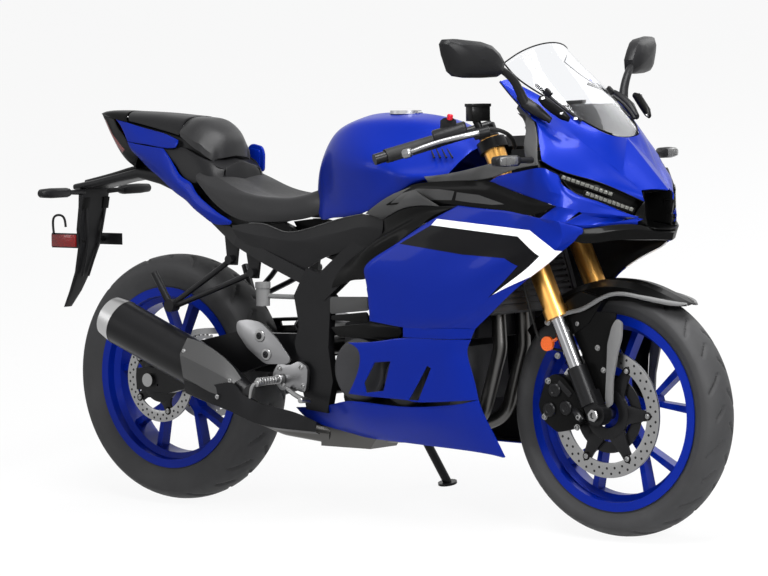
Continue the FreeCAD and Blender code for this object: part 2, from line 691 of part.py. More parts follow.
cup = rounded(cup, 6, Z)
cup.Placement = FreeCAD.Placement(bar_point(D.bar_end_w - 150, -1, 34, 22), FreeCAD.Rotation(Y, -8))
cup_post = cylinder(bar_point(D.bar_end_w - 150, -1, 30, -2), bar_point(D.bar_end_w - 150, -1, 34, 24), 7)
right_tube = cylinder(bar_point(0, -1), bar_point(D.bar_end_w, -1), D.bar_r + 0.1)
controls[0] = controls[0].fuse([cup, cup_post]).cut(right_tube)
node("controls", feature("controls_body", Part.makeCompound(controls)))


# front fender: a skin over the tyre
def fender_section(angle, radius, half, drop):
    """Half circle section of the fender at an angle ahead of straight up."""
    a = math.radians(angle)
    out = V(math.sin(a), 0, math.cos(a))
    points = []
    for w, dr in ((-half, -drop), (-half * 0.86, -drop * 0.35), (-half * 0.45, -3), (0, 0),
                  (half * 0.45, -3), (half * 0.86, -drop * 0.35), (half, -drop)):
        points.append(FRONT_AXLE + out * (radius + dr) + Y * w)
    inner = []
    for w, dr in ((half - D.fender_t, -drop), (half * 0.83 - D.fender_t, -drop * 0.4),
                  (half * 0.42, -3 - D.fender_t), (0, -D.fender_t),
                  (-half * 0.42, -3 - D.fender_t), (-half * 0.83 + D.fender_t, -drop * 0.4),
                  (-half + D.fender_t, -drop)):
        inner.append(FRONT_AXLE + out * (radius + dr) + Y * w)
    points += inner
    return Part.makePolygon(points + [points[0]])


fr = D.front_tyre_r + D.fender_gap + 4
fh = D.front_tyre_w / 2 + 9
fender = Part.makeLoft([fender_section(-52, fr, fh, 34), fender_section(-30, fr, fh, 50),
                        fender_section(-5, fr, fh, 52), fender_section(15, fr, fh, 40),
                        fender_section(31, fr + 5, fh * 0.8, 20),
                        fender_section(37.4, fr + 14, fh * 0.42, 7)], True, False)
stays = []
for side in (-1, 1):
    outline = [(D.wheelbase - 92, 470), (D.wheelbase - 40, 500), (D.wheelbase + 6, 560),
               (D.wheelbase - 60, 575), (D.wheelbase - 128, 535)]
    y0 = side * (fh - D.fender_t)
    stays.append(side_plate(outline, y0, side * (D.fork_y - D.chrome_r + 4)))
fork_way = []
for side in (-D.fork_y, D.fork_y):
    fork_way.append(cylinder(fork_point(300, side), fork_point(D.gold_foot_z - 1, side), D.chrome_r + 1))
    fork_way.append(cylinder(fork_point(D.gold_foot_z - 1, side), fork_point(800, side), D.gold_r + 4))
fender = fender.fuse(stays).cut(Part.makeCompound(fork_way))
node("front_fender", feature("front_fender_body", fender))

# front caliper: behind the right leg, on the disc
cal_a = math.radians(-62)
cal_out = V(math.sin(cal_a), 0, math.cos(cal_a))
cal_mid = FRONT_AXLE + cal_out * (D.front_disc_r - 14)
mid_y = D.front_disc_y + D.disc_t / 2
cal = Part.makeBox(66, 58, 118, V(-33, -29, -59))
cal = rounded(cal, 9, Z)
cal_turn = FreeCAD.Rotation(cal_out, Y, cal_out.cross(Y), "XYZ")
cal.Placement = FreeCAD.Placement(cal_mid - Y * (mid_y + 6), cal_turn)
slot = Part.makeCylinder(D.front_disc_r + 4, D.disc_t + 5, FRONT_AXLE - Y * (mid_y + D.disc_t / 2 + 2.5), Y)
spoke_way = Part.makeCylinder(D.bead_r + 20, 40, FRONT_AXLE - Y * (D.front_rim_w / 2 + 6), Y)
lug = cylinder(FRONT_AXLE + cal_out * 118 - Y * 97, fork_point(D.front_tyre_r + 70, -D.fork_y), 11)
leg_way = cylinder(fork_point(200, -D.fork_y), fork_point(D.foot_top_z + 1, -D.fork_y), D.chrome_r + 5)
caliper = cal.cut(slot).cut(spoke_way)
caliper = caliper.fuse(lug).cut(Part.makeCompound([leg_way, slot] + feet + chrome))
node("front_caliper", feature("front_caliper_body", caliper))

reflectors = []
for side in (-1, 1):
    p = fork_point(474, side * D.fork_y) - AHEAD * 52 - Y * side * 2
    pad = Part.makeCylinder(17, 8, p, Y * side)
    arm = cylinder(p + Y * side * 3, fork_point(474, side * D.fork_y) + Y * side * 1, 4)
    way = cylinder(fork_point(300, side * D.fork_y), fork_point(700, side * D.fork_y), D.chrome_r)
    reflectors.append(pad.fuse(arm).cut(way))
node("fork_reflectors", feature("fork_reflectors_body", Part.makeCompound(reflectors)))

hose = tube_path([fork_point(690, -D.fork_y) - AHEAD * (D.gold_r + 3.2),
                  fork_point(640, -D.fork_y) - AHEAD * 52, fork_point(560, -D.fork_y) - AHEAD * 66,
                  fork_point(480, -D.fork_y) - AHEAD * 84 + Y * 12,
                  cal_mid - Y * (mid_y + 8) + V(4, 0, 78)], 3.2, 60)
node("brake_hose", feature("brake_hose_body", hose))

# Frame
head_low, head_top = D.lower_clamp_z + D.clamp_t / 2, D.upper_clamp_z - D.clamp_t / 2
gap_z = D.side_fit + 1
head_a = on_axis(D.lower_clamp_z) + AXIS * (D.clamp_t / 2 + gap_z)
head_b = on_axis(D.upper_clamp_z) - AXIS * (D.clamp_t / 2 + gap_z)
head_tube = cylinder(head_a, head_b, D.head_tube_r)
pieces = [head_tube]
plate_out = D.plate_y + D.plate_t
beam_y = D.plate_y + D.beam_t / 2
for side in (-1, 1):
    head_mid = (head_a + head_b) * 0.5
    stations = [(head_mid + V(0, side * 14, 0), 12, D.beam_h * 0.62),
                (V(sx(1000), side * 62, 790), 11, D.beam_h * 0.56),
                (V(sx(880), side * beam_y, 752), D.beam_t / 2, D.beam_h / 2),
                (V(sx(720), side * beam_y, 664), D.beam_t / 2, D.beam_h / 2),
                (V(585, side * beam_y, 560), D.beam_t / 2, D.beam_h / 2)]
    pieces.append(beam(stations))
    outline = [(625, 590), (545, 612), (505, 545), (520, 470), (505, 430), (525, 330), (540, 268),
               (606, 262), (625, 340), (612, 420), (618, 500)]
    pieces.append(side_plate(outline, side * D.plate_y, side * plate_out))
cross_pts = [(585, 318, 14), (538, 590, 14)]
for cx, cz, cr in cross_pts:
    pieces.append(Part.makeCylinder(cr, 2 * D.plate_y + 2, V(cx, -D.plate_y - 1, cz), Y))
pivot_end = V(D.pivot_x, -D.plate_y - 1, D.pivot_z)
pieces.append(Part.makeCylinder(D.pivot_bolt_r, 2 * D.plate_y + 2, pivot_end, Y))
stand_pivot = V(D.stand_pivot_x, D.stand_pivot_y, D.stand_pivot_z)
settle = D.crown_ratio * D.rear_tyre_w * (1 - math.cos(lean))
foot_z = D.stand_foot_y * math.tan(lean) - settle / math.cos(lean)
foot = V(D.stand_foot_x, D.stand_foot_y, foot_z)
leg_down = (foot - stand_pivot).normalize()
leg_up = V(-0.97, 0.23, 0.02).normalize()
STAND_AXIS = leg_down.cross(leg_up).normalize()
eye_t = D.stand_eye_t / 2
eye_space = cylinder(stand_pivot - STAND_AXIS * (eye_t + D.side_fit), stand_pivot + STAND_AXIS * 40, 30)
frame = pieces[0].fuse(pieces[1:]).cut(eye_space)


def stand_pin(start, end, radius):
    """A round piece on the side stand's pin, between two distances from the eye's middle."""
    return cylinder(stand_pivot + STAND_AXIS * start, stand_pivot + STAND_AXIS * end, radius)


stand_boss = stand_pin(-eye_t - 30, -eye_t - D.side_fit, 19)
stand_bolt = stand_pin(-eye_t - 5, eye_t + 3, D.stand_pin_r)
stand_head = stand_pin(eye_t + D.side_fit, eye_t + 6, D.stand_pin_r + 4)
frame = frame.fuse([stand_boss, stand_bolt, stand_head])
stem_way = cylinder(head_a - AXIS * 5, head_b + AXIS * 5, D.stem_r + D.run_fit)
frame = frame.cut(stem_way)
node("frame", feature("frame_body", frame))

rails = []
for side in (-1, 1):
    rails.append(beam([(V(556, side * 137, 580), D.rail_t / 2, D.rail_h / 2),
                       (V(400, side * 124, 634), D.rail_t / 2, D.rail_h / 2),
                       (V(290, side * 108, 676), D.rail_t / 2, D.rail_h / 2),
                       (V(200, side * 84, 722), D.rail_t / 2, D.rail_h / 2 - 3),
                       (V(40, side * 50, 812), D.rail_t / 2 - 2, D.rail_h / 2 - 5),
                       (V(-110, side * 34, 890), D.rail_t / 2 - 2, D.rail_h / 2 - 7)]))
    upper_lug = [(240, 706), (290, 690), (278, 610), (250, 610)]
    lower_lug = [(322, 660), (372, 650), (360, 580), (336, 580)]
    rails.append(side_plate(upper_lug, side * 96, side * 104))
    rails.append(side_plate(lower_lug, side * 110, side * 118))
rail_ties = [Part.makeCylinder(11, 2 * 120, V(400, -120, 634), Y),
             Part.makeCylinder(9, 2 * 52, V(40, -52, 812), Y)]
subframe = rails[0].fuse(rails[1:] + rail_ties).cut(frame)
node("subframe", feature("subframe_body", subframe))

# Engine
crank = side_plate([(sx(632), 300), (sx(650), 240), (sx(905), 235), (sx(960), 300), (sx(950), 430),
                    (sx(880), 470), (sx(700), 500), (sx(640), 480)], -118, 118)
cyl_block = side_plate([(sx(800), 460), (sx(925), 440), (sx(1000), 600), (sx(985), 690),
                        (sx(890), 715), (sx(850), 600)], -92, 92)
engine = crank.fuse(cyl_block)
clutch = Part.makeCylinder(78, 50, V(sx(720), -118, 372), -Y)
clutch = rounded(clutch, 10)
crank_cover = rounded(Part.makeCylinder(62, 46, V(sx(855), -118, 350), -Y), 9)
alternator = rounded(Part.makeCylinder(74, 52, V(sx(845), 118, 352), Y), 12)
covers = [clutch.fuse(crank_cover), alternator]
engine_shape = engine.cut(stadium(REAR_AXLE, r_rear + 14, DRIVE, r_front + 14, D.chain_y - 14, 130))
node("engine_block", feature("engine_block_body", engine_shape.cut(frame)))
drive_shaft = Part.makeCylinder(13, D.chain_y + 3 - 66, DRIVE + Y * 66, Y)
cover_left = alternator.cut(engine_shape)
cover_shape = Part.makeCompound([covers[0].cut(engine_shape), cover_left])
node("engine_covers", feature("engine_covers_body", cover_shape))
sprocket_shape = drive_sprocket.fuse(drive_shaft).cut(engine_shape)
node("drive_sprocket", feature("drive_sprocket_body", sprocket_shape))

radiator = Part.makeBox(26, 330, 178, V(-13, -165, 0))
grooves = []
for k in range(11):
    grooves.append(Part.makeBox(6, 306, 6, V(8, -153, 12 + k * 14.6)))
tanks = [Part.makeBox(34, 14, 178, V(-17, side * 165 - 7, 0)) for side in (-1, 1)]
for side in (-1, 1):
    tanks.append(cylinder(V(-12, side * 130, 172), V(-70, side * 84, 286), 6))
radiator = radiator.cut(Part.makeCompound(grooves)).fuse(tanks)
radiator.Placement = FreeCAD.Placement(V(sx(1120), 0, 520), FreeCAD.Rotation(Y, -18))
radiator = radiator.cut(frame)
node("radiator", feature("radiator_body", radiator))

# Exhaust
headers = []
for w in (-46, 46):
    headers.append(tube_path([V(sx(985), w, 622), V(sx(1048), w, 598), V(sx(1060), w - 4, 430),
                              V(sx(1010), w - 10, 262), V(sx(880), w * 0.7 - 20, 212),
                              V(700, -52 + w * 0.3, 206)], D.pipe_r, 70))
box = side_plate([(560, 178), (715, 178), (735, 205), (715, 232), (560, 232)], -120, -20)
link = tube_path([V(580, -100, 206), V(470, -140, 224), V(396, -156, 250), V(330, -166, 280)], 24, 80)
engine_way = [engine_shape, covers[0]]
exhaust = headers[0].fuse([headers[1], box, link]).cut(Part.makeCompound(engine_way))
can_dir = V(-0.922, -0.05, 0.379).normalize()
can_rear = V(-30, -D.silencer_y - 2, 462)
can_front = can_rear - can_dir * 262
cone = Part.makeLoft([Part.Wire(Part.makeCircle(D.silencer_r, can_front, can_dir)),
                      Part.Wire(Part.makeCircle(D.silencer_r * 0.86, can_front - can_dir * 70, can_dir)),
                      Part.Wire(Part.makeCircle(27, can_front - can_dir * 168, can_dir))], True, True)
can = cylinder(can_front, can_rear, D.silencer_r).fuse(cone)
tip_start = can_rear
tip = Part.makeLoft([Part.Wire(Part.makeCircle(D.silencer_r + 1, tip_start, can_dir)),
                     Part.Wire(Part.makeCircle(D.silencer_r - 6, tip_start + can_dir * 40, can_dir))],
                    True, True)
tip = tip.cut(cylinder(tip_start + can_dir * 6, tip_start + can_dir * 60, D.silencer_r - 16))
exhaust = exhaust.cut(can)
node("exhaust_pipes", feature("exhaust_pipes_body", exhaust))
can_obj = can.cut(swingarm)
node("silencer", feature("silencer_body", can_obj))
node("silencer_tip", feature("silencer_tip_body", tip))

# Shock and chain guard
shock_low, shock_top = V(386, -12, 400), V(538, -12, 590)
shock = cylinder(shock_low, shock_top, 13)
coils = []
along = (shock_top - shock_low).normalize()
for k in range(8):
    p = shock_low + along * (40 + k * 17)
    coils.append(Part.makeTorus(27, 5.5, p, along))
seat_a = Part.makeCylinder(33, 5, shock_low + along * 62, along)
seat_b = Part.makeCylinder(33, 5, shock_low + along * 172, along)
spring = Part.makeCylinder(29, 108, shock_low + along * 66, along)
top_eye = Part.makeCylinder(24, 30, shock_top - Y * 15, Y)
shock = shock.fuse([seat_a, seat_b, spring, top_eye])
shock = shock.cut(Part.makeCompound([frame, swingarm, subframe]))
node("rear_shock", feature("rear_shock_body", shock))

guard = side_plate([(60, 452), (250, 466), (470, 478), (472, 470), (250, 458), (62, 444)],
                   D.chain_y - 12, D.arm_in_y + 12)
guard = guard.fuse(side_plate([(180, D.pivot_z - 12), (200, 455), (240, 456), (250, D.pivot_z)],
                              D.arm_in_y + 4, D.arm_in_y + 10))
guard = guard.cut(swingarm)
node("chain_guard", feature("chain_guard_body", guard))

rc_a = math.radians(62)
rc_out = V(math.sin(rc_a), 0, math.cos(rc_a))
rear_mid_y = D.rear_disc_y + D.disc_t / 2
rear_cal = rounded(Part.makeBox(46, 30, 84, V(-23, -15, -42)), 7, Z)
rear_cal.Placement = FreeCAD.Placement(REAR_AXLE + rc_out * (D.rear_disc_r - 10) - Y * rear_mid_y,
                                       FreeCAD.Rotation(rc_out, Y, rc_out.cross(Y), "XYZ"))
rear_slot = Part.makeCylinder(D.rear_disc_r + 4, D.disc_t + 5,
                              REAR_AXLE - Y * (rear_mid_y + D.disc_t / 2 + 2.5), Y)
way_half = D.rear_tyre_w / 2 + 4
tyre_way = Part.makeCylinder(D.rear_tyre_r + 6, 2 * way_half, REAR_AXLE - Y * way_half, Y)
rear_cal = rear_cal.cut(Part.makeCompound([rear_slot, tyre_way, swingarm]))
rear_cal = max(rear_cal.Solids, key=lambda s: s.Volume)
node("rear_caliper", feature("rear_caliper_body", rear_cal))

# Tank and seats
tank = body_loft([
    (486, [(0, 756), (58, 758), (84, 784), (70, 806), (0, 812)]),
    (560, [(0, 742), (84, 744), (118, 806), (88, 905), (0, 948)]),
    (650, [(0, 736), (112, 742), (156, 830), (118, 940), (0, 984)]),
    (750, [(0, 752), (130, 760), (170, 850), (122, 948), (0, 987)]),
    (850, [(0, 784), (130, 794), (150, 850), (96, 934), (0, 972)]),
    (915, [(0, 808), (112, 814), (126, 852), (74, 912), (0, 944)]),
    (950, [(0, 824), (88, 828), (102, 850), (60, 890), (0, 912)])])
cap_way = Part.makeCylinder(D.cap_r + D.cap_fit, 60, V(D.cap_x, 0, D.cap_floor_z), Z)
HINGE = V(D.cap_x + D.cap_r + D.cap_hinge_x, 0, D.cap_hinge_z)
slot_r, slot_w = D.cap_pin_r + D.cap_fit, D.cap_pin_w + 2 * D.cap_fit
hinge_way = Part.makeCylinder(slot_r, slot_w, HINGE - Y * slot_w / 2, Y)
leaf_way = Part.makeBox(D.cap_hinge_x + 2, slot_w, 20,
                        V(HINGE.x - D.cap_hinge_x - 2, -slot_w / 2, D.cap_hinge_z - D.cap_pin_r))
cap_way = cap_way.fuse([hinge_way, leaf_way])
neck_way = Part.makeCylinder(D.neck_r, D.neck_depth + 10, V(D.cap_x, 0, D.cap_floor_z - D.neck_depth), Z)
tank = tank.cut(Part.makeCompound([frame])).cut(cap_way).cut(neck_way)
seat = body_loft([
    (196, [(0, 792), (78, 794), (92, 818), (76, 836), (0, 834)]),
    (270, [(0, 742), (98, 742), (110, 776), (86, 802), (0, 800)]),
    (370, [(0, 724), (108, 724), (124, 748), (92, 776), (0, 771)]),
    (470, [(0, 724), (104, 724), (120, 746), (88, 776), (0, 771)]),
    (560, [(0, 740), (72, 740), (88, 762), (60, 784), (0, 788)])])
seat = seat.cut(tank)
pillion = body_loft([
    (-132, [(0, 966), (44, 968), (54, 977), (42, 987), (0, 991)]),
    (-10, [(0, 944), (66, 948), (78, 962), (64, 978), (0, 983)]),
    (90, [(0, 912), (84, 918), (98, 942), (76, 970), (0, 977)]),
    (190, [(0, 872), (88, 878), (106, 918), (78, 962), (0, 970)]),
    (288, [(0, 864), (68, 868), (84, 894), (62, 924), (0, 932)])])
tail = body_loft([
    (-200, [(0, 958), (30, 960), (40, 968), (30, 976), (0, 980)]),
    (-80, [(0, 862), (54, 866), (74, 905), (60, 948), (0, 958)]),
    (30, [(0, 800), (76, 804), (96, 862), (80, 924), (0, 938)]),
    (160, [(0, 758), (92, 762), (114, 806), (96, 866), (0, 880)]),
    (284, [(0, 716), (104, 718), (121, 742), (104, 790), (0, 800)])])
tail = tail.cut(seat).cut(pillion).cut(subframe)
tail = max(tail.Solids, key=lambda s: s.Volume)
seat = seat.cut(subframe)
node("fuel_tank", feature("fuel_tank_body", tank))
node("rider_seat", feature("rider_seat_body", seat))
node("passenger_seat", feature("passenger_seat_body", pillion))
node("tail_cowl", feature("tail_cowl_body", tail))
tail_end = body_loft([
    (-262, [(0, 982), (16, 983), (22, 986), (16, 990), (0, 991)]),
    (-205, [(0, 930), (34, 934), (44, 962), (36, 984), (0, 990)]),
    (-150, [(0, 880), (44, 884), (52, 905), (44, 920), (0, 924)])])
tail_end = tail_end.cut(tail).cut(pillion)
tail_end = max(tail_end.Solids, key=lambda s: s.Volume)
node("tail_light", feature("tail_light_body", tail_end))


# Rear fender and lamps
fender_arm = side_plate([(30, 812), (24, 778), (-150, 762), (-240, 760), (-330, 782), (-352, 796),
                         (-340, 812), (-215, 838), (-160, 850), (-70, 866)], -44, 44)
fender_leaf = side_plate([(-352, 800), (-322, 780), (-300, 760), (-282, 650), (-302, 490),
                          (-396, 476), (-412, 480), (-330, 640), (-336, 740)], -58, 58)
plate_arm = side_plate([(D.plate_x, D.plate_z - 13), (D.plate_x + 16, D.plate_z - 13),
                        (D.plate_x + 16, D.plate_z + 14), (D.plate_x, D.plate_z + 14)],
                       -D.plate_arm_w, D.plate_arm_w)
fender_back = fender_arm.fuse([fender_leaf, plate_arm])
bolt_way = []
for side in (-1, 1):
    start = V(D.plate_x - 20, side * D.plate_hole_y, D.plate_z)
    bolt_way.append(Part.makeCylinder(D.plate_hole_r, 60, start, X))
fender_back = carve(fender_back, tail, tail_end, subframe, *bolt_way)
node("rear_fender", feature("rear_fender_body", fender_back))

lamps = []
for side in (-1, 1):
    stalk = cylinder(V(-316, side * 58, 786), V(-300, side * 120, 784), 9)
    pod = Part.makeLoft([Part.Wire(Part.makeCircle(9, V(-302, side * 108, 784), Y * side)),
                         Part.Wire(Part.makeCircle(17, V(-298, side * 136, 783), Y * side)),
                         Part.Wire(Part.makeCircle(15, V(-294, side * 180, 782), Y * side)),
                         Part.Wire(Part.makeCircle(7, V(-296, side * 208, 782), Y * side))], True, False)
    lamps.append(stalk.fuse(pod).cut(fender_back))

# Nose
# vertices: screen edge, upper crease, brow, lamp's lower edge, side crease, wing top, wing
# foot, chin
nose_sections = [
    (1100, [(120, 1130), (186, 1100), (212, 900), (214, 870), (215, 833),
            (213, 800), (213, 760), (210, 700)]),
    (1184, [(129, 1070), (194, 1058), (222, 930), (224, 880), (224, 822),
            (218, 800), (220, 760), (218, 700)]),
    (1246, [(134, 1036), (184, 1020), (229, 930), (231, 880), (227, 819),
            (224, 795), (226, 760), (224, 700)]),
    (1310, [(131, 1002), (158, 972), (238, 893), (238, 862), (228, 815),
            (227, 786), (234, 752), (228, 690)]),
    (1363, [(102, 964), (123, 917), (231, 866), (233, 850), (223, 812),
            (229, 779), (239, 750), (225, 669)]),
    (1403, [(0, 926), (95, 880), (197, 848), (201, 822), (204, 803),
            (203, 770), (218, 738), (206, 694)]),
    (1438, [(0, 895), (71, 846), (159, 831), (152, 784), (153, 776),
            (158, 760), (178, 735), (172, 714)]),
    (1486, [(0, 852), (56, 803), (60, 787), (67, 752), (69, 748),
            (73, 743), (92, 738), (94, 728)]),
    (1530, [(0, 816), (26, 806), (29, 800), (32, 792), (33, 786),
            (34, 780), (35, 772), (35, 764)])]
nose_right = skin_loft(nose_sections, D.skin, True)
nose_line = [(1100, 845), (1104, 833), (1171, 832), (1257, 819), (1361, 782), (1361, 751), (1361, 660),
             (1540, 660), (1540, 830), (1410, 945), (1300, 1020), (1184, 1075), (1180, 1061), (1246, 1013),
             (1301, 975), (1310, 964), (1332, 880)]
lamp_line = [(1338, 876), (1368, 861), (1437, 828), (1478, 790), (1468, 757), (1425, 790),
             (1386, 817), (1358, 848)]
nose_right = nose_right.common(trimmer(nose_line, -1, 300)).cut(trimmer(lamp_line, 60, 300))
nose = nose_right.fuse(nose_right.mirror(V(0, 0, 0), Y))
nose = max(nose.Solids, key=lambda s: s.Volume)
node("nose_cowl", feature("nose_cowl_body", nose))

fair_sections = [
    (770, [(196, 800), (212, 700), (216, 627), (205, 540), (200, 440)]),
    (890, [(193, 800), (212, 700), (216, 627), (206, 540), (200, 440)]),
    (1050, [(193, 800), (214, 700), (221, 627), (210, 540), (198, 440)]),
    (1213, [(212, 800), (224, 720), (230, 640), (224, 560), (206, 440)]),
    (1303, [(226, 800), (234, 740), (230, 660), (222, 600), (200, 440)]),
    (1400, [(212, 800), (222, 745), (212, 690), (196, 600), (170, 440)])]
fair_skin = skin_loft(fair_sections, D.skin)
g = D.panel_gap / 2
fair_line = [(785, 487), (890, 485), (1086, 460), (1167, 529), (1213, 562), (1303, 624),
             (1361, 665), (1361, 751), (1301, 755), (1154, 769),
             (1045, 772), (946, 716), (831, 657), (788, 627)]
fairing = fair_skin.common(trimmer(fair_line, 100, 300))
fairing_left = fairing.mirror(V(0, 0, 0), Y)
node("side_fairings", feature("side_fairings_body", Part.makeCompound([fairing, fairing_left])))

belly_sections = [
    (470, [(118, 460), (118, 330), (116, 262), (100, 226), (0, 222)]),
    (600, [(168, 460), (164, 330), (136, 240), (112, 196), (0, 192)]),
    (760, [(197, 460), (190, 360), (176, 280), (124, 190), (0, 186)]),
    (930, [(200, 460), (192, 360), (182, 280), (128, 186), (0, 182)]),
    (1050, [(199, 460), (190, 360), (178, 280), (130, 184), (0, 178)]),
    (1140, [(190, 460), (180, 360), (164, 280), (130, 178), (0, 174)])]
belly_skin = skin_loft(belly_sections, D.skin, True)
belly_line = [(703, 437), (885, 446), (1087, 456), (1072, 432), (1084, 319), (1103, 248),
              (1131, 182), (1100, 160), (481, 160), (481, 266), (616, 285), (718, 315),
              (742, 388)]
belly = belly_skin.common(trimmer(belly_line, -1, 300))
belly = belly.fuse(belly.mirror(V(0, 0, 0), Y))
tyre_space = Part.makeBox(400, 236, 140, V(sx(1046), -118, 120))
belly = belly.cut(Part.makeCompound([exhaust, can, tyre_space])).cut(frame).cut(engine_shape)
belly = belly.cut(covers[0]).cut(covers[1])
belly = max(belly.Solids, key=lambda s: s.Volume)
node("belly_pan", feature("belly_pan_body", belly))

wedge_sections = [
    (828, [(176, 850), (182, 800), (186, 772), (190, 740)]),
    (930, [(176, 850), (186, 800), (190, 778), (190, 740)]),
    (1060, [(180, 850), (196, 805), (198, 775), (196, 740)]),
    (1180, [(196, 850), (214, 815), (208, 775), (204, 740)]),
    (1300, [(218, 850), (226, 805), (228, 780), (226, 740)]),
    (1366, [(222, 850), (227, 805), (229, 780), (228, 740)])]
wedge_skin = skin_loft(wedge_sections, D.skin)
wedge_line = [(833, 770), (901, 817), (1029, 831), (1171, 834), (1257, 821), (1361, 784),
              (1304, 750), (1154, 765), (1039, 766), (965, 772)]
wedge = wedge_skin.common(trimmer(wedge_line, 100, 300)).cut(fairing).cut(nose)
wedge = max(wedge.Solids, key=lambda s: s.Volume)
node("wedge_panels", feature("wedge_panels_body", Part.makeCompound([wedge, wedge.mirror(V(0, 0, 0), Y)])))

# windscreen: a bubble between its two lower edges
screen_sections = [
    (1150, [(119, 1119), (70, 1143), (0, 1152)]),
    (1210, [(131, 1062), (80, 1092), (0, 1106)]),
    (1283, [(137, 1020), (80, 1040), (0, 1048)]),
    (1336, [(124, 988), (70, 996), (0, 1000)]),
    (1376, [(92, 956), (50, 955), (0, 955)]),
    (1397, [(34, 938), (18, 936), (0, 935)])]
screen_right = skin_loft([(x, list(reversed(pts))) for x, pts in screen_sections], D.screen_t, True)
screen = screen_right.fuse(screen_right.mirror(V(0, 0, 0), Y)).cut(nose)
screen = max(screen.Solids, key=lambda s: s.Volume)
node("windscreen", feature("windscreen_body", screen))

lamp_block = body_loft([
    (1330, [(0, 760), (150, 770), (205, 800), (150, 840), (0, 850)]),
    (1400, [(0, 750), (140, 760), (180, 800), (140, 840), (0, 850)]),
    (1470, [(0, 735), (70, 740), (80, 770), (60, 800), (0, 810)]),
    (1520, [(0, 735), (40, 738), (46, 765), (36, 790), (0, 796)])], False)
lamp_block = lamp_block.cut(nose)
lamp_block = max(lamp_block.Solids, key=lambda s: s.Volume)
node("headlights", feature("headlights_body", lamp_block))

dash = rounded(Part.makeBox(34, 150, 84, V(-17, -75, -42)), 10, X)
dash.Placement = FreeCAD.Placement(V(sx(1178), 0, 985), FreeCAD.Rotation(Y, -28))
bracket = beam([(V(sx(1192), 0, 960), 14, 10), (V(sx(1250), 0, 880), 14, 10), (V(sx(1332), 0, 812), 14, 10)])
bracket_low = cylinder((head_a + head_b) * 0.5 + X * (D.head_tube_r - 6), V(sx(1262), 0, 868), 9)
stays = bracket.fuse([bracket_low, dash]).cut(lamp_block).cut(frame)
side_in = []
for side in (-1, 1):
    panel_line = [(1262, 965), (1305, 965), (1320, 880), (1290, 835), (1150, 838), (1160, 852),
                  (1262, 880)]
    skin = side_plate([(sx(x), z) for x, z in panel_line], side * 205, side * 209)
    flange_line = [(1288, 930), (1322, 930), (1326, 885), (1322, 850), (1288, 850)]
    flange = side_plate([(sx(x), z) for x, z in flange_line], side * 206, side * 230)
    skin = skin.fuse(flange)
    side_in.append(skin.cut(nose).cut(wedge).cut(wedge.mirror(V(0, 0, 0), Y)))
node("cockpit", feature("cockpit_body", Part.makeCompound([stays] + side_in)))

mirrors = []
for side in (-1, 1):
    root = V(sx(1224), side * 186, 1030)
    stalk = tube_path([root, V(sx(1216), side * 216, 1062), V(sx(1206), side * 262, 1100)], 9, 30)
    shell = Part.makeLoft([Part.Wire(Part.makeCircle(r, V(x, side * w, z), Y * side))
                           for w, x, z, r in ((236, sx(1206), 1098, 16), (280, sx(1200), 1112, 34),
                                              (350, sx(1190), 1122, 36), (396, sx(1182), 1124, 22),
                                              (409, sx(1180), 1124, 8))], True, False)
    base = Part.makeBox(64, 34, 14, V(sx(1224) - 32, side * 186 - 17, 1018))
    mirrors.append(stalk.fuse([shell, base]).cut(nose).cut(screen))
node("mirrors", feature("mirrors_body", Part.makeCompound(mirrors)))
for side in (-1, 1):
    pod = Part.makeLoft([Part.Wire(Part.makeCircle(r, V(x, side * w, z), Y * side))
                         for w, x, z, r in ((236, sx(1302), 886, 11), (262, sx(1298), 887, 13),
                                            (290, sx(1292), 887, 17), (340, sx(1284), 886, 15),
                                            (363, sx(1279), 885, 7))], True, False)
    lamps.append(pod.cut(nose))
node("turn_signals", feature("turn_signals_body", Part.makeCompound(lamps)))

covers_line = [(300, 718), (312, 700), (391, 622), (513, 601), (613, 628), (704, 690), (742, 712),
               (716, 752), (612, 722), (532, 728), (480, 716), (380, 712)]
cover = side_plate([(sx(x), z) for x, z in covers_line], -150, -118)
cover = cover.cut(Part.makeCompound([frame, subframe])).cut(seat).cut(tank).cut(tail)
cover = max(cover.Solids, key=lambda s: s.Volume)
node("side_covers", feature("side_covers_body", Part.makeCompound([cover, cover.mirror(V(0, 0, 0), Y)])))

# Foot controls
rearsets = []
for side in (-1, 1):
    plate = side_plate([(250, 452), (272, 498), (330, 512), (392, 470), (436, 404), (440, 376), (452, 350),
                        (452, 322), (400, 322), (386, 378), (330, 398)], side * 166, side * 172)
    arm = side_plate([(400, 384), (520, 436), (528, 410), (452, 340), (430, 340)], side * 150, side * 166)
    peg = cylinder(V(424, side * 172, 334), V(418, side * 262, 334), 10)
    whole = plate.fuse([arm, peg])
    if side < 0:
        toe = [V(500, -186, 318), V(590, -196, 322), V(600, -214, 324)]
    else:
        toe = [V(520, 184, 326), V(588, 190, 334), V(600, 214, 336)]
    pedal = tube_path([V(452, side * 178, 330)] + toe, 5, 20)
    whole = whole.fuse([pedal, cylinder(V(452, side * 160, 330), V(452, side * 184, 330), 9)])
    rearsets.append(whole.cut(frame).cut(swingarm).cut(can))
node("rearsets", feature("rearsets_body", Part.makeCompound(rearsets)))

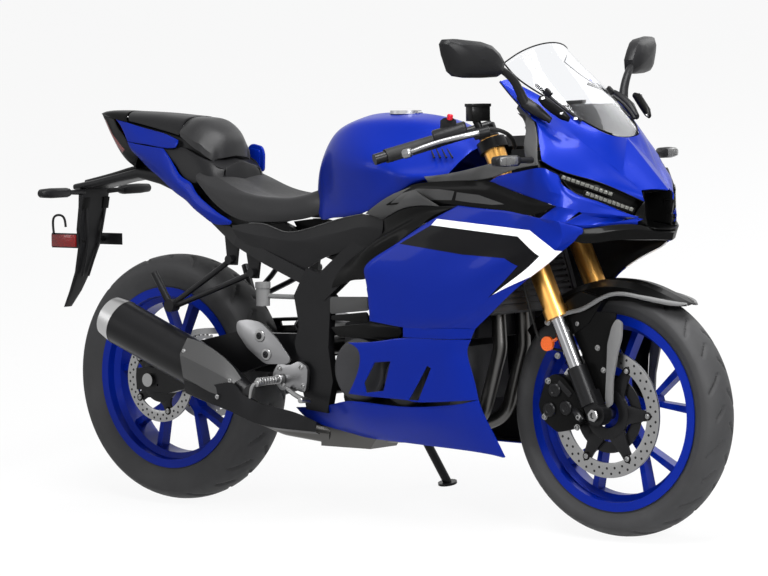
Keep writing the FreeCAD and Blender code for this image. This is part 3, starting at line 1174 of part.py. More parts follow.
hangers = []
for side in (-1, 1):
    a = tube_path([V(264, side * 104, 624), V(190, side * 130, 568), V(110, side * 152, 512)], 7, 20)
    b = tube_path([V(348, side * 118, 594), V(240, side * 136, 552), V(116, side * 152, 506)], 7, 20)
    bolt_a = Part.makeCylinder(11, 14, V(264, side * 104, 624), Y * side)
    bolt_b = Part.makeCylinder(11, 14, V(348, side * 118, 594), Y * side)
    ear = Part.makeCylinder(16, 26, V(108, side * 142, 508), Y * side)
    ppeg = cylinder(V(100, side * 160, 520), V(64, side * 172, 590), 9)
    hangers.append(a.fuse([b, ear, ppeg, bolt_a, bolt_b]).cut(subframe).cut(can).cut(cover))
node("passenger_pegs", feature("passenger_pegs_body", Part.makeCompound(hangers)))

rear_cup = Part.makeCylinder(17, 44, V(402, -146, 516), Z)
rear_lid = Part.makeCylinder(19, 14, V(402, -146, 560), Z)
rear_strap = cylinder(V(402, -142, 540), V(516, -139, 540), 6)
rear_cup = rear_cup.fuse([rear_lid, rear_strap]).cut(frame).cut(subframe).cut(cover)
node("rear_reservoir", feature("rear_reservoir_body", rear_cup))

# Side stand and cap
leg = cylinder(stand_pivot, foot + V(0, 0, 4), D.stand_r)
eye = cylinder(stand_pivot - STAND_AXIS * eye_t, stand_pivot + STAND_AXIS * eye_t, D.stand_pin_r + 11)
keep = cylinder(stand_pivot - STAND_AXIS * eye_t, stand_pivot - STAND_AXIS * (eye_t + 60), 80)
keep_out = cylinder(stand_pivot + STAND_AXIS * eye_t, stand_pivot + STAND_AXIS * (eye_t + 60), 40)
pin_way = cylinder(stand_pivot - STAND_AXIS * 60, stand_pivot + STAND_AXIS * 60, D.stand_pin_r + D.run_fit)
pad = Part.makeCylinder(24, 6, V(0, 0, 0), Z)
pad.Placement = FreeCAD.Placement(foot, FreeCAD.Rotation(X, D.lean_angle))
stand = leg.cut(keep).cut(keep_out).fuse([eye, pad]).cut(pin_way)
below = Part.makeBox(400, 400, 60, V(-200, -200, -60))
below.Placement = FreeCAD.Placement(foot, FreeCAD.Rotation(X, D.lean_angle))
stand = stand.cut(below)
node("side_stand", feature("side_stand_body", stand))

cap = Part.makeCylinder(D.cap_r, D.cap_t, V(D.cap_x, 0, D.cap_floor_z + D.side_fit), Z)
barrel = Part.makeCylinder(D.cap_pin_r, D.cap_pin_w, HINGE - Y * D.cap_pin_w / 2, Y)
leaf = Part.makeBox(D.cap_hinge_x + 4, D.cap_pin_w, D.cap_pin_r,
                    V(HINGE.x - D.cap_hinge_x - 4, -D.cap_pin_w / 2, D.cap_hinge_z))
cap = cap.fuse([barrel, leaf])
node("fuel_cap", feature("fuel_cap_body", cap))

doc.recompute()

# Place and export
tilt = FreeCAD.Rotation(X, -D.lean_angle)
spread = FreeCAD.BoundBox()
for name, objects in NODES:
    for obj in objects:
        turned = obj.Shape.copy()
        turned.Placement = FreeCAD.Placement(V(0, 0, 0), tilt).multiply(turned.Placement)
        spread.add(turned.optimalBoundingBox(False))
mid_x, mid_y = round(spread.Center.x), round(spread.Center.y)
LEAN = FreeCAD.Placement(V(-mid_x, -mid_y, settle), tilt)
print("origin at x %d, y %d of the leaned machine, lifted %.4f" % (mid_x, mid_y, settle))
placed = []
for name, objects in NODES:
    group = doc.addObject("Part::Compound", name)
    group.Label = name
    group.Links = list(objects)
    group.Placement = LEAN
    placed.append(group)
doc.recompute()
for obj in doc.Objects:
    bad = [state for state in obj.State if state in ("Invalid", "Error")]
    if bad:
        raise ValueError(obj.Label + " is " + bad[0])
for group in placed:
    if group.Shape.isNull() or not group.Shape.isValid():
        raise ValueError(group.Label + " has no valid shape")
    if len(group.Shape.Solids) == 0:
        raise ValueError(group.Label + " has no solid")
for group in placed:
    group.Shape.exportStep(os.path.join("parts", group.Label + ".step"))
    print("%-18s solids %d faces %d volume %.0f" % (group.Label, len(group.Shape.Solids),
          len(group.Shape.Faces), group.Shape.Volume))
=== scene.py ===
"""Looks of the sport motorcycle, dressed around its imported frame.

Pieces are drawn in the upright machine frame, millimetres: X forward from the rear axle,
Y to the rider's left, Z up from the ground. PLACE leans them and takes them to metres.
A point (x, w, z) has w as its distance from the middle plane, on either side.
"""

import json
import math

import bmesh
import bpy
import numpy as np
from mathutils import Matrix, Vector


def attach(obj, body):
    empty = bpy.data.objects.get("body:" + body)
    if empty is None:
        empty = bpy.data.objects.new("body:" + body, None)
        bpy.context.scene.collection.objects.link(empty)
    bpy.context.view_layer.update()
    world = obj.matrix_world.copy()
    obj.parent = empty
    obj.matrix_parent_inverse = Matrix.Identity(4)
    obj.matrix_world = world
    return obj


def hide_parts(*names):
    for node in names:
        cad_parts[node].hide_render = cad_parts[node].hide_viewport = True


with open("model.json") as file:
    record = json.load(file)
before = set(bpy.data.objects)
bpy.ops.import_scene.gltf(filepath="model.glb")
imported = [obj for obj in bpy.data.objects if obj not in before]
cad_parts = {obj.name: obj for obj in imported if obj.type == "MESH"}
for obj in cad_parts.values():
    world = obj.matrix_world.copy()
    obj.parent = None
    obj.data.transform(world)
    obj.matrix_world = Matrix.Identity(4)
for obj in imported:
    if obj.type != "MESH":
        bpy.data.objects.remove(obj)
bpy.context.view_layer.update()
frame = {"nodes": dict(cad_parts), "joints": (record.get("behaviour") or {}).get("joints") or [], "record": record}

# Millimetres, apart from the scale to metres
MM = 0.001
REAR_TYRE_R = 314
FRONT_TYRE_R = 293
WHEELBASE = 1380
RIGHT, LEFT = -1, 1
OUT = (0, -1, 0)

# The photograph's frame and view
PHOTO_W, SENSOR = 768, 36
FOCAL_PX = 3839
VIEW_AZ, VIEW_EL, VIEW_ROLL = 39.33, 3.69, -0.80
VIEW_DISTANCE = 9350.8
VIEW_TARGET = (666, 0, 558.8)

# The studio: light from all round, and the floor's half size in metres and whiteness
WORLD_FILL = 0.20
FLOOR_HALF = 30
FLOOR_PALENESS = 0.92

JOINTS = {j["name"]: j for j in frame["joints"]}


def leaned_frame():
    """Matrix from the upright frame to the row frame, both in metres."""
    hub = JOINTS["rear_wheel_spin"]
    axle = Vector(hub["axis"])
    lean = Matrix.Rotation(-math.atan2(-axle.z, axle.y), 4, "X")
    lean.translation = Vector(hub["pos_m"]) - lean.to_3x3() @ Vector((0, 0, REAR_TYRE_R * MM))
    return lean


LEAN = leaned_frame()
PLACE = LEAN @ Matrix.Scale(MM, 4)


# Camera, light and floor

def add_camera():
    az, el, roll = (math.radians(v) for v in (VIEW_AZ, VIEW_EL, VIEW_ROLL))
    back = Vector((math.sin(az) * math.cos(el), -math.cos(az) * math.cos(el), math.sin(el)))
    right = Vector((math.cos(az), math.sin(az), 0))
    up = back.cross(right)
    side = right * math.cos(roll) + up * math.sin(roll)
    top = up * math.cos(roll) - right * math.sin(roll)
    turn = Matrix((side, top, back)).transposed().to_4x4()
    turn.translation = (Vector(VIEW_TARGET) + back * VIEW_DISTANCE) * MM
    data = bpy.data.cameras.new("view")
    data.sensor_width = SENSOR
    data.lens = SENSOR * FOCAL_PX / PHOTO_W
    data.clip_end = 100
    camera = bpy.data.objects.new("view", data)
    camera.matrix_world = LEAN @ turn
    bpy.context.scene.collection.objects.link(camera)
    bpy.context.scene.camera = camera


def add_area_light(name, place, aim, width, height, power):
    data = bpy.data.lights.new(name, "AREA")
    data.shape = "RECTANGLE"
    data.size = width
    data.size_y = height
    data.energy = power
    lamp = bpy.data.objects.new(name, data)
    lamp.location = place
    lamp.rotation_euler = (Vector(aim) - Vector(place)).to_track_quat("-Z", "Y").to_euler()
    bpy.context.scene.collection.objects.link(lamp)


def seen_rays(nodes, links):
    """A socket that is 1 for rays that show the background: camera, glossy and transmission rays."""
    path = nodes.new("ShaderNodeLightPath")
    seen = path.outputs["Is Camera Ray"]
    for kind in ("Is Glossy Ray", "Is Transmission Ray"):
        either = nodes.new("ShaderNodeMath")
        either.operation = "MAXIMUM"
        links.new(seen, either.inputs[0])
        links.new(path.outputs[kind], either.inputs[1])
        seen = either.outputs[0]
    return seen


def mix_shaders(nodes, links, share, first, second, output):
    """Mixes two shaders by a share and sends the result to an output node's surface."""
    mix = nodes.new("ShaderNodeMixShader")
    for socket, end in zip((share, first.outputs[0], second.outputs[0]), mix.inputs):
        links.new(socket, end)
    links.new(mix.outputs[0], nodes[output].inputs["Surface"])


def add_world():
    world = bpy.data.worlds.new("studio")
    world.use_nodes = True
    bpy.context.scene.world = world
    nodes, links = world.node_tree.nodes, world.node_tree.links
    soft = nodes["Background"]
    soft.inputs["Color"].default_value = (0.95, 0.97, 1, 1)
    soft.inputs["Strength"].default_value = WORLD_FILL
    white = nodes.new("ShaderNodeBackground")
    white.inputs["Color"].default_value = (1, 1, 1, 1)
    white.inputs["Strength"].default_value = 1
    mix_shaders(nodes, links, seen_rays(nodes, links), soft, white, "World Output")


def add_floor():
    half = FLOOR_HALF
    mesh = bpy.data.meshes.new("floor")
    corners = [(-half, -half, 0), (half, -half, 0), (half, half, 0), (-half, half, 0)]
    mesh.from_pydata(corners, [], [(0, 1, 2, 3)])
    floor = bpy.data.objects.new("floor", mesh)
    bpy.context.scene.collection.objects.link(floor)
    material = bpy.data.materials.new("floor")
    material.use_nodes = True
    nodes, links = material.node_tree.nodes, material.node_tree.links
    shader = nodes["Principled BSDF"]
    shader.inputs["Base Color"].default_value = (0.86, 0.86, 0.87, 1)
    shader.inputs["Roughness"].default_value = 0.8
    shader.inputs["Specular IOR Level"].default_value = 0
    glow = nodes.new("ShaderNodeEmission")
    glow.inputs["Color"].default_value = (1, 1, 1, 1)
    share = nodes.new("ShaderNodeMath")
    share.operation = "MULTIPLY"
    share.inputs[1].default_value = FLOOR_PALENESS
    links.new(seen_rays(nodes, links), share.inputs[0])
    mix_shaders(nodes, links, share.outputs[0], shader, glow, "Material Output")
    mesh.materials.append(material)


def add_studio():
    scene = bpy.context.scene
    scene.view_settings.view_transform = "Standard"
    add_world()
    add_floor()
    middle = (0, -0.1, 0.6)
    add_area_light("over", (1.1, -0.4, 3.4), middle, 3.2, 1.0, 230)
    add_area_light("front", (4.5, -1.7, 2.6), middle, 1.0, 1.6, 200)
    add_area_light("near_side", (0.4, -4.4, 2.2), middle, 2.4, 0.7, 9)
    add_area_light("rear_side", (-3.2, -3.0, 2.4), middle, 0.8, 1.6, 20)
    add_area_light("far_side", (0.6, 4.2, 2.4), middle, 3.0, 1.6, 40)


# Materials

class Finish:
    """A Principled material and small helpers to drive it by textures in the row frame."""

    def __init__(self, name, colour, rough, metal=0.0, **settings):
        self.material = bpy.data.materials.new(name)
        self.material.use_nodes = True
        tree = self.material.node_tree
        self.nodes, self.links = tree.nodes, tree.links
        self.shader = self.nodes["Principled BSDF"]
        self.colour, self.rough = colour, rough
        self.set("Base Color", (*colour, 1))
        self.set("Roughness", rough)
        self.set("Metallic", metal)
        for socket, value in settings.items():
            self.set(socket.replace("_", " "), value)
        self.coords = self.nodes.new("ShaderNodeTexCoord").outputs["Object"]
        self.height = None

    def set(self, socket, value):
        self.shader.inputs[socket].default_value = value

    def noise(self, scale, detail, stretch=None):
        place = self.coords
        if stretch:
            warp = self.nodes.new("ShaderNodeMapping")
            warp.inputs["Scale"].default_value = stretch
            self.links.new(self.coords, warp.inputs["Vector"])
            place = warp.outputs[0]
        texture = self.nodes.new("ShaderNodeTexNoise")
        texture.inputs["Scale"].default_value = scale
        texture.inputs["Detail"].default_value = detail
        self.links.new(place, texture.inputs["Vector"])
        return texture.outputs["Fac"]

    def cells(self, scale, feature="DISTANCE_TO_EDGE"):
        texture = self.nodes.new("ShaderNodeTexVoronoi")
        texture.feature = feature
        texture.inputs["Scale"].default_value = scale
        self.links.new(self.coords, texture.inputs["Vector"])
        return texture.outputs["Distance"]

    def ramp(self, socket, low, high):
        span = self.nodes.new("ShaderNodeMapRange")
        span.inputs["To Min"].default_value = low
        span.inputs["To Max"].default_value = high
        self.links.new(socket, span.inputs["Value"])
        return span.outputs[0]

    def mottle(self, socket, other, amount):
        """Mixes the base colour with another by a texture."""
        mix = self.nodes.new("ShaderNodeMix")
        mix.data_type = "RGBA"
        mix.inputs["A"].default_value = (*self.colour, 1)
        mix.inputs["B"].default_value = (*other, 1)
        self.links.new(self.ramp(socket, 0, amount), mix.inputs["Factor"])
        self.links.new(mix.outputs["Result"], self.shader.inputs["Base Color"])
        return self

    def vary_rough(self, socket, spread):
        low, high = self.rough * (1 - spread), min(1, self.rough * (1 + spread))
        self.links.new(self.ramp(socket, low, high), self.shader.inputs["Roughness"])
        return self

    def bump(self, socket, strength, depth):
        node = self.nodes.new("ShaderNodeBump")
        node.inputs["Strength"].default_value = strength
        node.inputs["Distance"].default_value = depth
        self.links.new(socket, node.inputs["Height"])
        if self.height is not None:
            self.links.new(self.height, node.inputs["Normal"])
        self.height = node.outputs[0]
        self.links.new(self.height, self.shader.inputs["Normal"])
        return self


def paint(name, colour, deep, metal=0.18, gloss=0.07):
    """Glossy two-coat paint with faint fleck and orange peel."""
    f = Finish(name, colour, 0.34, metal, Specular_IOR_Level=gloss, Coat_Weight=gloss, Coat_Roughness=0.04)
    f.mottle(f.noise(2600, 1), deep, 0.6)
    f.vary_rough(f.noise(9, 2), 0.15)
    return f.bump(f.noise(160, 1), 0.03, 0.0002).material


def plastic(name, colour, rough, grain=900, depth=0.3):
    """Moulded plastic with a fine spark-eroded grain."""
    f = Finish(name, colour, rough, Specular_IOR_Level=0.12)
    f.mottle(f.noise(6, 3), tuple(min(1, c * 1.4 + 0.001) for c in colour), 0.5)
    f.vary_rough(f.noise(30, 3), 0.12)
    return f.bump(f.noise(grain, 2), depth, 0.0002).material


def metal(name, colour, rough, grain=700, depth=0.15, stretch=None):
    """Bare metal, brushed along an axis where its grain is stretched."""
    f = Finish(name, colour, rough, 1.0)
    f.mottle(f.noise(14, 4), tuple(c * 0.72 for c in colour), 0.6)
    f.vary_rough(f.noise(grain, 3, stretch), 0.25)
    return f.bump(f.noise(grain, 2, stretch), depth, 0.0001).material


def coated_metal(name, colour, rough):
    """Painted or powder-coated metal, a little lighter in patches."""
    f = Finish(name, colour, rough, 0.2, Specular_IOR_Level=0.15, Coat_Weight=0.06, Coat_Roughness=0.3)
    f.mottle(f.noise(18, 5), tuple(c * 1.6 + 0.003 for c in colour), 0.5)
    f.vary_rough(f.noise(45, 4), 0.25)
    return f.bump(f.noise(420, 3), 0.25, 0.0003).material


def leather(name, colour, rough):
    """Seat vinyl with a pebbled grain."""
    f = Finish(name, colour, rough, Specular_IOR_Level=0.25, Sheen_Weight=0.1, Sheen_Roughness=0.4)
    f.mottle(f.noise(22, 3), tuple(c * 1.6 + 0.001 for c in colour), 0.6)
    f.vary_rough(f.noise(60, 2), 0.15)
    f.bump(f.cells(420), 0.55, 0.0004)
    return f.bump(f.noise(1500, 2), 0.2, 0.0002).material


def tyre_rubber():
    f = Finish("tyre_rubber", (0.022, 0.022, 0.023), 0.62, 0.0, Specular_IOR_Level=0.2)
    f.mottle(f.noise(11, 5), (0.045, 0.045, 0.046), 0.7)
    f.vary_rough(f.noise(60, 4), 0.2)
    return f.bump(f.noise(700, 4), 0.35, 0.0004).material


def worn_rubber(name, colour, rough):
    f = Finish(name, colour, rough, Specular_IOR_Level=0.2)
    f.mottle(f.noise(11, 5), (0.045, 0.045, 0.046), 0.7)
    f.vary_rough(f.noise(60, 4), 0.2)
    return f.bump(f.noise(700, 4), 0.35, 0.0004).material


def clear_sheet(name, colour, rough):
    f = Finish(name, colour, rough, Transmission_Weight=1.0, IOR=1.18)
    f.vary_rough(f.noise(25, 2), 0.3)
    return f.material


def lens(name, colour):
    """Moulded lens with small facets."""
    f = Finish(name, colour, 0.12, Specular_IOR_Level=0.2, Coat_Weight=0.3, Coat_Roughness=0.03)
    f.mottle(f.cells(420, "F1"), tuple(c * 0.6 for c in colour), 0.8)
    f.bump(f.cells(260, "F1"), 0.5, 0.0008)
    return f.material


BLUE = (0.0006, 0.013, 0.215)
DEEP_BLUE = (0.0005, 0.008, 0.15)
ALONG_Z = (1, 1, 0.05)
FINISHES = {
    "blue_paint": (paint, BLUE, DEEP_BLUE),
    "blue_plastic": (paint, BLUE, DEEP_BLUE),
    "black_metal": (coated_metal, (0.004, 0.004, 0.0045), 0.34),
    "black_plastic": (plastic, (0.006, 0.006, 0.0065), 0.40),
    "gloss_black": (paint, (0.003, 0.003, 0.003), (0.002, 0.002, 0.002), 0.0, 0.04),
    "dark_alloy": (coated_metal, (0.026, 0.026, 0.028), 0.45),
    "silver_alloy": (metal, (0.46, 0.46, 0.46), 0.38, 500, 0.3),
    "gold_tube": (metal, (0.95, 0.50, 0.13), 0.30, 900, 0.1, ALONG_Z),
    "chrome_tube": (metal, (0.30, 0.30, 0.31), 0.14, 900, 0.04),
    "steel": (metal, (0.29, 0.29, 0.29), 0.30),
    "dark_steel": (metal, (0.10, 0.098, 0.095), 0.34, 600, 0.25),
    "tyre_rubber": (worn_rubber, (0.022, 0.022, 0.023), 0.62),
    "rubber": (plastic, (0.014, 0.014, 0.014), 0.6, 600, 0.4),
    "clear": (clear_sheet, (0.97, 0.98, 1.0), 0.03),
    "vinyl": (leather, (0.0045, 0.0045, 0.005), 0.5),
    "lamp": (plastic, (0.012, 0.012, 0.013), 0.25),
    "orange_lens": (lens, (0.75, 0.12, 0.01)),
    "grey_plastic": (plastic, (0.11, 0.11, 0.11), 0.5),
    "white_stripe": (paint, (0.86, 0.86, 0.88), (0.8, 0.8, 0.82), 0.0),
    "black_stripe": (paint, (0.004, 0.004, 0.005), (0.003, 0.003, 0.003), 0.0, 0.04),
    "smoke": (plastic, (0.045, 0.045, 0.045), 0.35),
    "red_lens": (lens, (0.16, 0.003, 0.003)),
    "red_switch": (plastic, (0.35, 0.01, 0.02), 0.35),
    "clear_lens": (lens, (0.08, 0.08, 0.08)),
    "led": (lens, (0.11, 0.11, 0.10)),
    "brushed": (metal, (0.24, 0.24, 0.245), 0.32, 900, 0.2, ALONG_Z),
}
MATERIALS = {name: make(name, *settings) for name, (make, *settings) in FINISHES.items()}


def dress_nodes():
    """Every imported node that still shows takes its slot's finish."""
    slots = {s["node"]: s["material_slot"] for s in frame["record"]["subparts"]}
    slots["exhaust_pipes"] = "dark_steel"
    for name, node in frame["nodes"].items():
        node.data.materials.clear()
        node.data.materials.append(MATERIALS[slots[name]])


# Shapes

# Millimetres: points nearer than TINY are one, and SEAM closes the seams between patches
TINY = 0.01
SEAM = 0.4
SHELL = {"thick": 2.6, "back": "black_plastic"}


def natural_cubic(points, knots, steps):
    """Samples a natural cubic through points (n, 3) at the knots, steps spans per gap."""
    n = len(points)
    gaps = np.diff(knots)
    bend = np.zeros_like(points)
    if n > 2:
        system = np.diag(2 * (gaps[:-1] + gaps[1:])) + np.diag(gaps[1:-1], 1) + np.diag(gaps[1:-1], -1)
        slopes = np.diff(points, axis=0) / gaps[:, None]
        bend[1:-1] = np.linalg.solve(system, 6 * np.diff(slopes, axis=0))
    out = []
    for i in range(n - 1):
        for k in range(steps):
            b = k / steps
            a = 1 - b
            pull = ((a ** 3 - a) * bend[i] + (b ** 3 - b) * bend[i + 1]) * gaps[i] ** 2 / 6
            out.append(a * points[i] + b * points[i + 1] + pull)
    out.append(points[-1])
    return out


def through(points, steps, corners=()):
    """A line through the points, smooth except at the corners, steps spans per gap."""
    points = np.array(points, float)
    stops = sorted({0, len(points) - 1, *corners})
    line = []
    for a, b in zip(stops, stops[1:]):
        part = points[a:b + 1]
        chords = np.sqrt(np.maximum(np.linalg.norm(np.diff(part, axis=0), axis=1), 0.01))
        line += natural_cubic(part, np.concatenate([[0], np.cumsum(chords)]), steps)[:-1]
    return np.array(line + [points[-1]])


def skin(rows, along, across, corners, sharp_rows):
    """A grid of points through rows that have as many points each.

    corners are the columns where every row may turn sharply, and sharp_rows the rows
    where the surface may.
    """
    lines = np.array([through(row, along, corners) for row in rows])
    chords = np.sqrt(np.maximum(np.linalg.norm(np.diff(lines, axis=0), axis=2).mean(axis=1), 0.01))
    knots = np.concatenate([[0], np.cumsum(chords)])
    stops = sorted({0, len(rows) - 1, *sharp_rows})
    grid = []
    for a, b in zip(stops, stops[1:]):
        flat = lines[a:b + 1].reshape(b - a + 1, -1)
        grid += natural_cubic(flat, knots[a:b + 1], across)[:-1]
    return np.array(grid + [lines[-1].reshape(-1)]).reshape(-1, lines.shape[1], 3)


def on_side(point):
    """(x, w, z) as an upright position on the right side of the machine."""
    return (point[0], RIGHT * point[1], point[2])


class Piece:
    """One object under construction, in upright millimetres."""

    def __init__(self, name, finish, body="chassis", more=()):
        self.name, self.body = name, body
        self.finishes = [finish, *more]
        self.shape = bmesh.new()

    def quads(self, grid, facing=None, finish=0, closed=False):
        """Adds a grid of points (rows, columns, 3) as faces, which look towards facing if it is given."""
        rows = [[self.shape.verts.new(p) for p in row] for row in grid]
        if closed:
            rows = [row + row[:1] for row in rows]
        made = []
        for a, b in zip(rows, rows[1:]):
            for i in range(len(a) - 1):
                corner = (a[i], a[i + 1], b[i + 1], b[i])
                spots = [v.co for v in corner]
                if min((spots[0] - spots[2]).length, (spots[1] - spots[3]).length) < TINY:
                    continue
                made.append(self.shape.faces.new(corner))
        for face in made:
            face.material_index = finish
            face.normal_update()
        looks = sum((f.normal * f.calc_area() for f in made), Vector())
        if facing is not None and looks.dot(Vector(facing)) < 0:
            bmesh.ops.reverse_faces(self.shape, faces=made)

    def patch(self, rows, facing, along=6, across=4, corners=(), sharp_rows=()):
        """Adds a surface through rows of (x, w, z), on the right side."""
        grid = skin(rows, along, across, corners, sharp_rows)
        grid[:, :, 1] *= RIGHT
        self.quads(grid, facing)

    def weld(self, reach=0.05):
        bmesh.ops.remove_doubles(self.shape, verts=self.shape.verts, dist=reach)
        bmesh.ops.dissolve_degenerate(self.shape, edges=self.shape.edges, dist=TINY)

    def cut_along(self, outline):
        """Splits the right side's faces along an outline of (x, z) and returns those inside it."""
        ends = list(zip(outline, outline[1:] + outline[:1]))
        for (x0, z0), (x1, z1) in ends:
            near = []
            for face in self.shape.faces:
                spots = [v.co for v in face.verts]
                if spots[0].y > 0:
                    continue
                if max(s.x for s in spots) < min(x0, x1) or min(s.x for s in spots) > max(x0, x1):
                    continue
                if max(s.z for s in spots) < min(z0, z1) or min(s.z for s in spots) > max(z0, z1):
                    continue
                near.append(face)
            geom = set(near) | {e for f in near for e in f.edges} | {v for f in near for v in f.verts}
            bmesh.ops.bisect_plane(self.shape, geom=list(geom), dist=0.001, plane_co=(x0, 0, z0),
                                   plane_no=(z1 - z0, 0, x0 - x1))
        return [f for f in self.shape.faces
                if f.calc_center_median().y < 0 and inside(f.calc_center_median(), ends)]

    def paint(self, outline, finish):
        for face in self.cut_along(outline):
            face.material_index = finish

    def open_up(self, outline):
        bmesh.ops.delete(self.shape, geom=self.cut_along(outline), context="FACES")

    def mirror(self):
        """Adds the left side."""
        copy = bmesh.ops.duplicate(self.shape, geom=list(self.shape.faces))["geom"]
        for v in (g for g in copy if isinstance(g, bmesh.types.BMVert)):
            v.co.y = -v.co.y
        bmesh.ops.reverse_faces(self.shape, faces=[g for g in copy if isinstance(g, bmesh.types.BMFace)])
        self.weld()

    def both_sides(self, **look):
        """Closes the seams between patches, adds the left side and makes the object."""
        self.weld(SEAM)
        self.mirror()
        return self.done(**look)

    def lathe(self, profile, start, direction, segments, finish=0):
        """Turns a profile of (distance along, radius) about an axis."""
        axis = Vector(direction).normalized()
        side = axis.orthogonal().normalized()
        across = axis.cross(side)
        grid = []
        for along, radius in profile:
            ring = []
            for k in range(segments):
                angle = math.tau * k / segments
                out = side * math.cos(angle) + across * math.sin(angle)
                ring.append(Vector(start) + axis * along + out * radius)
            grid.append(ring)
        self.quads(grid, finish=finish, closed=True)

    def rod(self, a, b, radius, segments, chamfer, finish=0):
        """A round bar from a to b with chamfered ends."""
        span = (Vector(b) - Vector(a)).length
        c = min(chamfer, radius * 0.5)
        profile = [(0, 0), (0, radius - c), (c, radius), (span - c, radius), (span, radius - c), (span, 0)]
        self.lathe(profile, a, Vector(b) - Vector(a), segments, finish)

    def tube(self, points, radius, segments, steps, finish=0):
        """A round bar or pipe through the points. radius may be one for each point."""
        line = through(points, steps)
        radii = np.atleast_1d(radius)
        widths = np.interp(np.linspace(0, 1, len(line)), np.linspace(0, 1, len(radii)), radii)
        tangents = np.gradient(line, axis=0)
        normal = Vector(tangents[0]).orthogonal().normalized()
        grid = [[line[0]] * segments]
        for spot, tangent, width in zip(line, tangents, widths):
            t = Vector(tangent).normalized()
            normal = (normal - t * normal.dot(t)).normalized()
            across = t.cross(normal)
            grid.append([Vector(spot) + (normal * math.cos(a) + across * math.sin(a)) * width
                         for a in (math.tau * k / segments for k in range(segments))])
        grid.append([line[-1]] * segments)
        self.quads(grid, finish=finish, closed=True)

    def loft(self, rings, segments, finish=0, power=2.0):
        """Rounded rings (centre, across, up), closed at both ends. across and up reach from the
        centre to the ring, and a power over 2 squares its corners."""
        grid = [[rings[0][0]] * segments]
        for ring in rings:
            centre, across, up = (Vector(part) for part in ring)
            spots = []
            for k in range(segments):
                a = math.tau * k / segments
                c, s = math.cos(a), math.sin(a)
                u = math.copysign(abs(c) ** (2 / power), c)
                v = math.copysign(abs(s) ** (2 / power), s)
                spots.append(centre + across * u + up * v)
            grid.append(spots)
        grid.append([rings[-1][0]] * segments)
        self.quads(grid, finish=finish, closed=True)

    def slab(self, outline, place, finish=0):
        """A prism: outline of (u, v), carried by place(u, v, side) for side 0 and 1."""
        near = [self.shape.verts.new(place(u, v, 0)) for u, v in outline]
        far = [self.shape.verts.new(place(u, v, 1)) for u, v in outline]
        faces = [self.shape.faces.new(near), self.shape.faces.new(far[::-1])]
        for i in range(len(outline)):
            j = (i + 1) % len(outline)
            faces.append(self.shape.faces.new((near[j], near[i], far[i], far[j])))
        for face in faces:
            face.material_index = finish
        bmesh.ops.recalc_face_normals(self.shape, faces=faces)

    def plate(self, outline, y0, y1, finish=0):
        """A plate of (x, z) outline between two distances across the machine."""
        self.slab(outline, lambda x, z, side: (x, (y0, y1)[side], z), finish)

    def block(self, centre, size, turn=None, finish=0):
        made = bmesh.ops.create_cube(self.shape, size=1)["verts"]
        spin = turn.to_3x3() if turn else Matrix.Identity(3)
        for v in made:
            v.co = Vector(centre) + spin @ Vector((v.co.x * size[0], v.co.y * size[1], v.co.z * size[2]))
        for face in {f for v in made for f in v.link_faces}:
            face.material_index = finish

    def bolt(self, place, direction, radius, head, finish=0):
        """A socket-head screw on a thin washer, with a hexagon recess."""
        axis = Vector(direction).normalized()
        washer, recess = radius * 1.25, radius * 0.55
        profile = [(0, washer), (0.8, washer), (0.8, radius), (head - 0.6, radius), (head, radius - 0.6),
                   (head, recess)]
        self.lathe(profile, place, axis, 20, finish)
        top = Vector(place) + axis * head
        self.lathe([(0, recess), (-head * 0.6, radius * 0.5), (-head * 0.6, 0)], top, axis, 6, finish)

    def done(self, thick=0.0, bevel=0.0, angle=32, replaces=(), offset=-1, back=None):
        """Makes the object: walls, rounded edges, finishes, its place and its body.

        back is the finish of the inner side of a wall.
        """
        mesh = bpy.data.meshes.new(self.name)
        if thick or bevel:
            self.weld()
        if not thick:
            bmesh.ops.recalc_face_normals(self.shape, faces=self.shape.faces)
        self.shape.to_mesh(mesh)
        self.shape.free()
        for finish in [*self.finishes, back] if back else self.finishes:
            mesh.materials.append(MATERIALS[finish])
        thing = bpy.data.objects.new(self.name, mesh)
        bpy.context.scene.collection.objects.link(thing)
        if thick:
            wall = thing.modifiers.new("wall", "SOLIDIFY")
            wall.thickness = thick
            wall.offset = offset
            if back:
                wall.material_offset = len(self.finishes)
        if bevel:
            edges = thing.modifiers.new("edges", "BEVEL")
            edges.width = bevel
            edges.segments = 2
            edges.limit_method = "ANGLE"
            edges.angle_limit = math.radians(angle)
            edges.use_clamp_overlap = True
        if thing.modifiers:
            bpy.context.view_layer.update()
            shown = thing.evaluated_get(bpy.context.evaluated_depsgraph_get())
            applied = bpy.data.meshes.new_from_object(shown)
            thing.modifiers.clear()
            thing.data = applied
            bpy.data.meshes.remove(mesh)
            mesh = applied
        mesh.shade_smooth()
        mesh.set_sharp_from_angle(angle=math.radians(angle))
        mesh.transform(PLACE)
        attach(thing, self.body)
        if replaces:
            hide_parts(*replaces)
        return thing


def inside(spot, ends):
    """True where a position is inside an outline of (x, z) ends, seen from the side."""
    hit = False
    for (x0, z0), (x1, z1) in ends:
        if (z0 > spot.z) != (z1 > spot.z) and spot.x < (x1 - x0) * (spot.z - z0) / (z1 - z0) + x0:
            hit = not hit
    return hit


def rounded(outline, radius):
    """The (u, v) outline with each corner replaced by an arc of up to the radius."""
    steps = 4
    spots = [Vector(p) for p in outline]
    result = []
    for i, spot in enumerate(spots):
        back, ahead = spots[i - 1] - spot, spots[(i + 1) % len(spots)] - spot
        reach = min(radius, back.length * 0.45, ahead.length * 0.45)
        start, end = spot + back.normalized() * reach, spot + ahead.normalized() * reach
        for k in range(steps + 1):
            t = k / steps
            bend = start * (1 - t) ** 2 + spot * 2 * t * (1 - t) + end * t ** 2
            result.append(tuple(bend))
    return result


# Bodywork, drawn on the right side

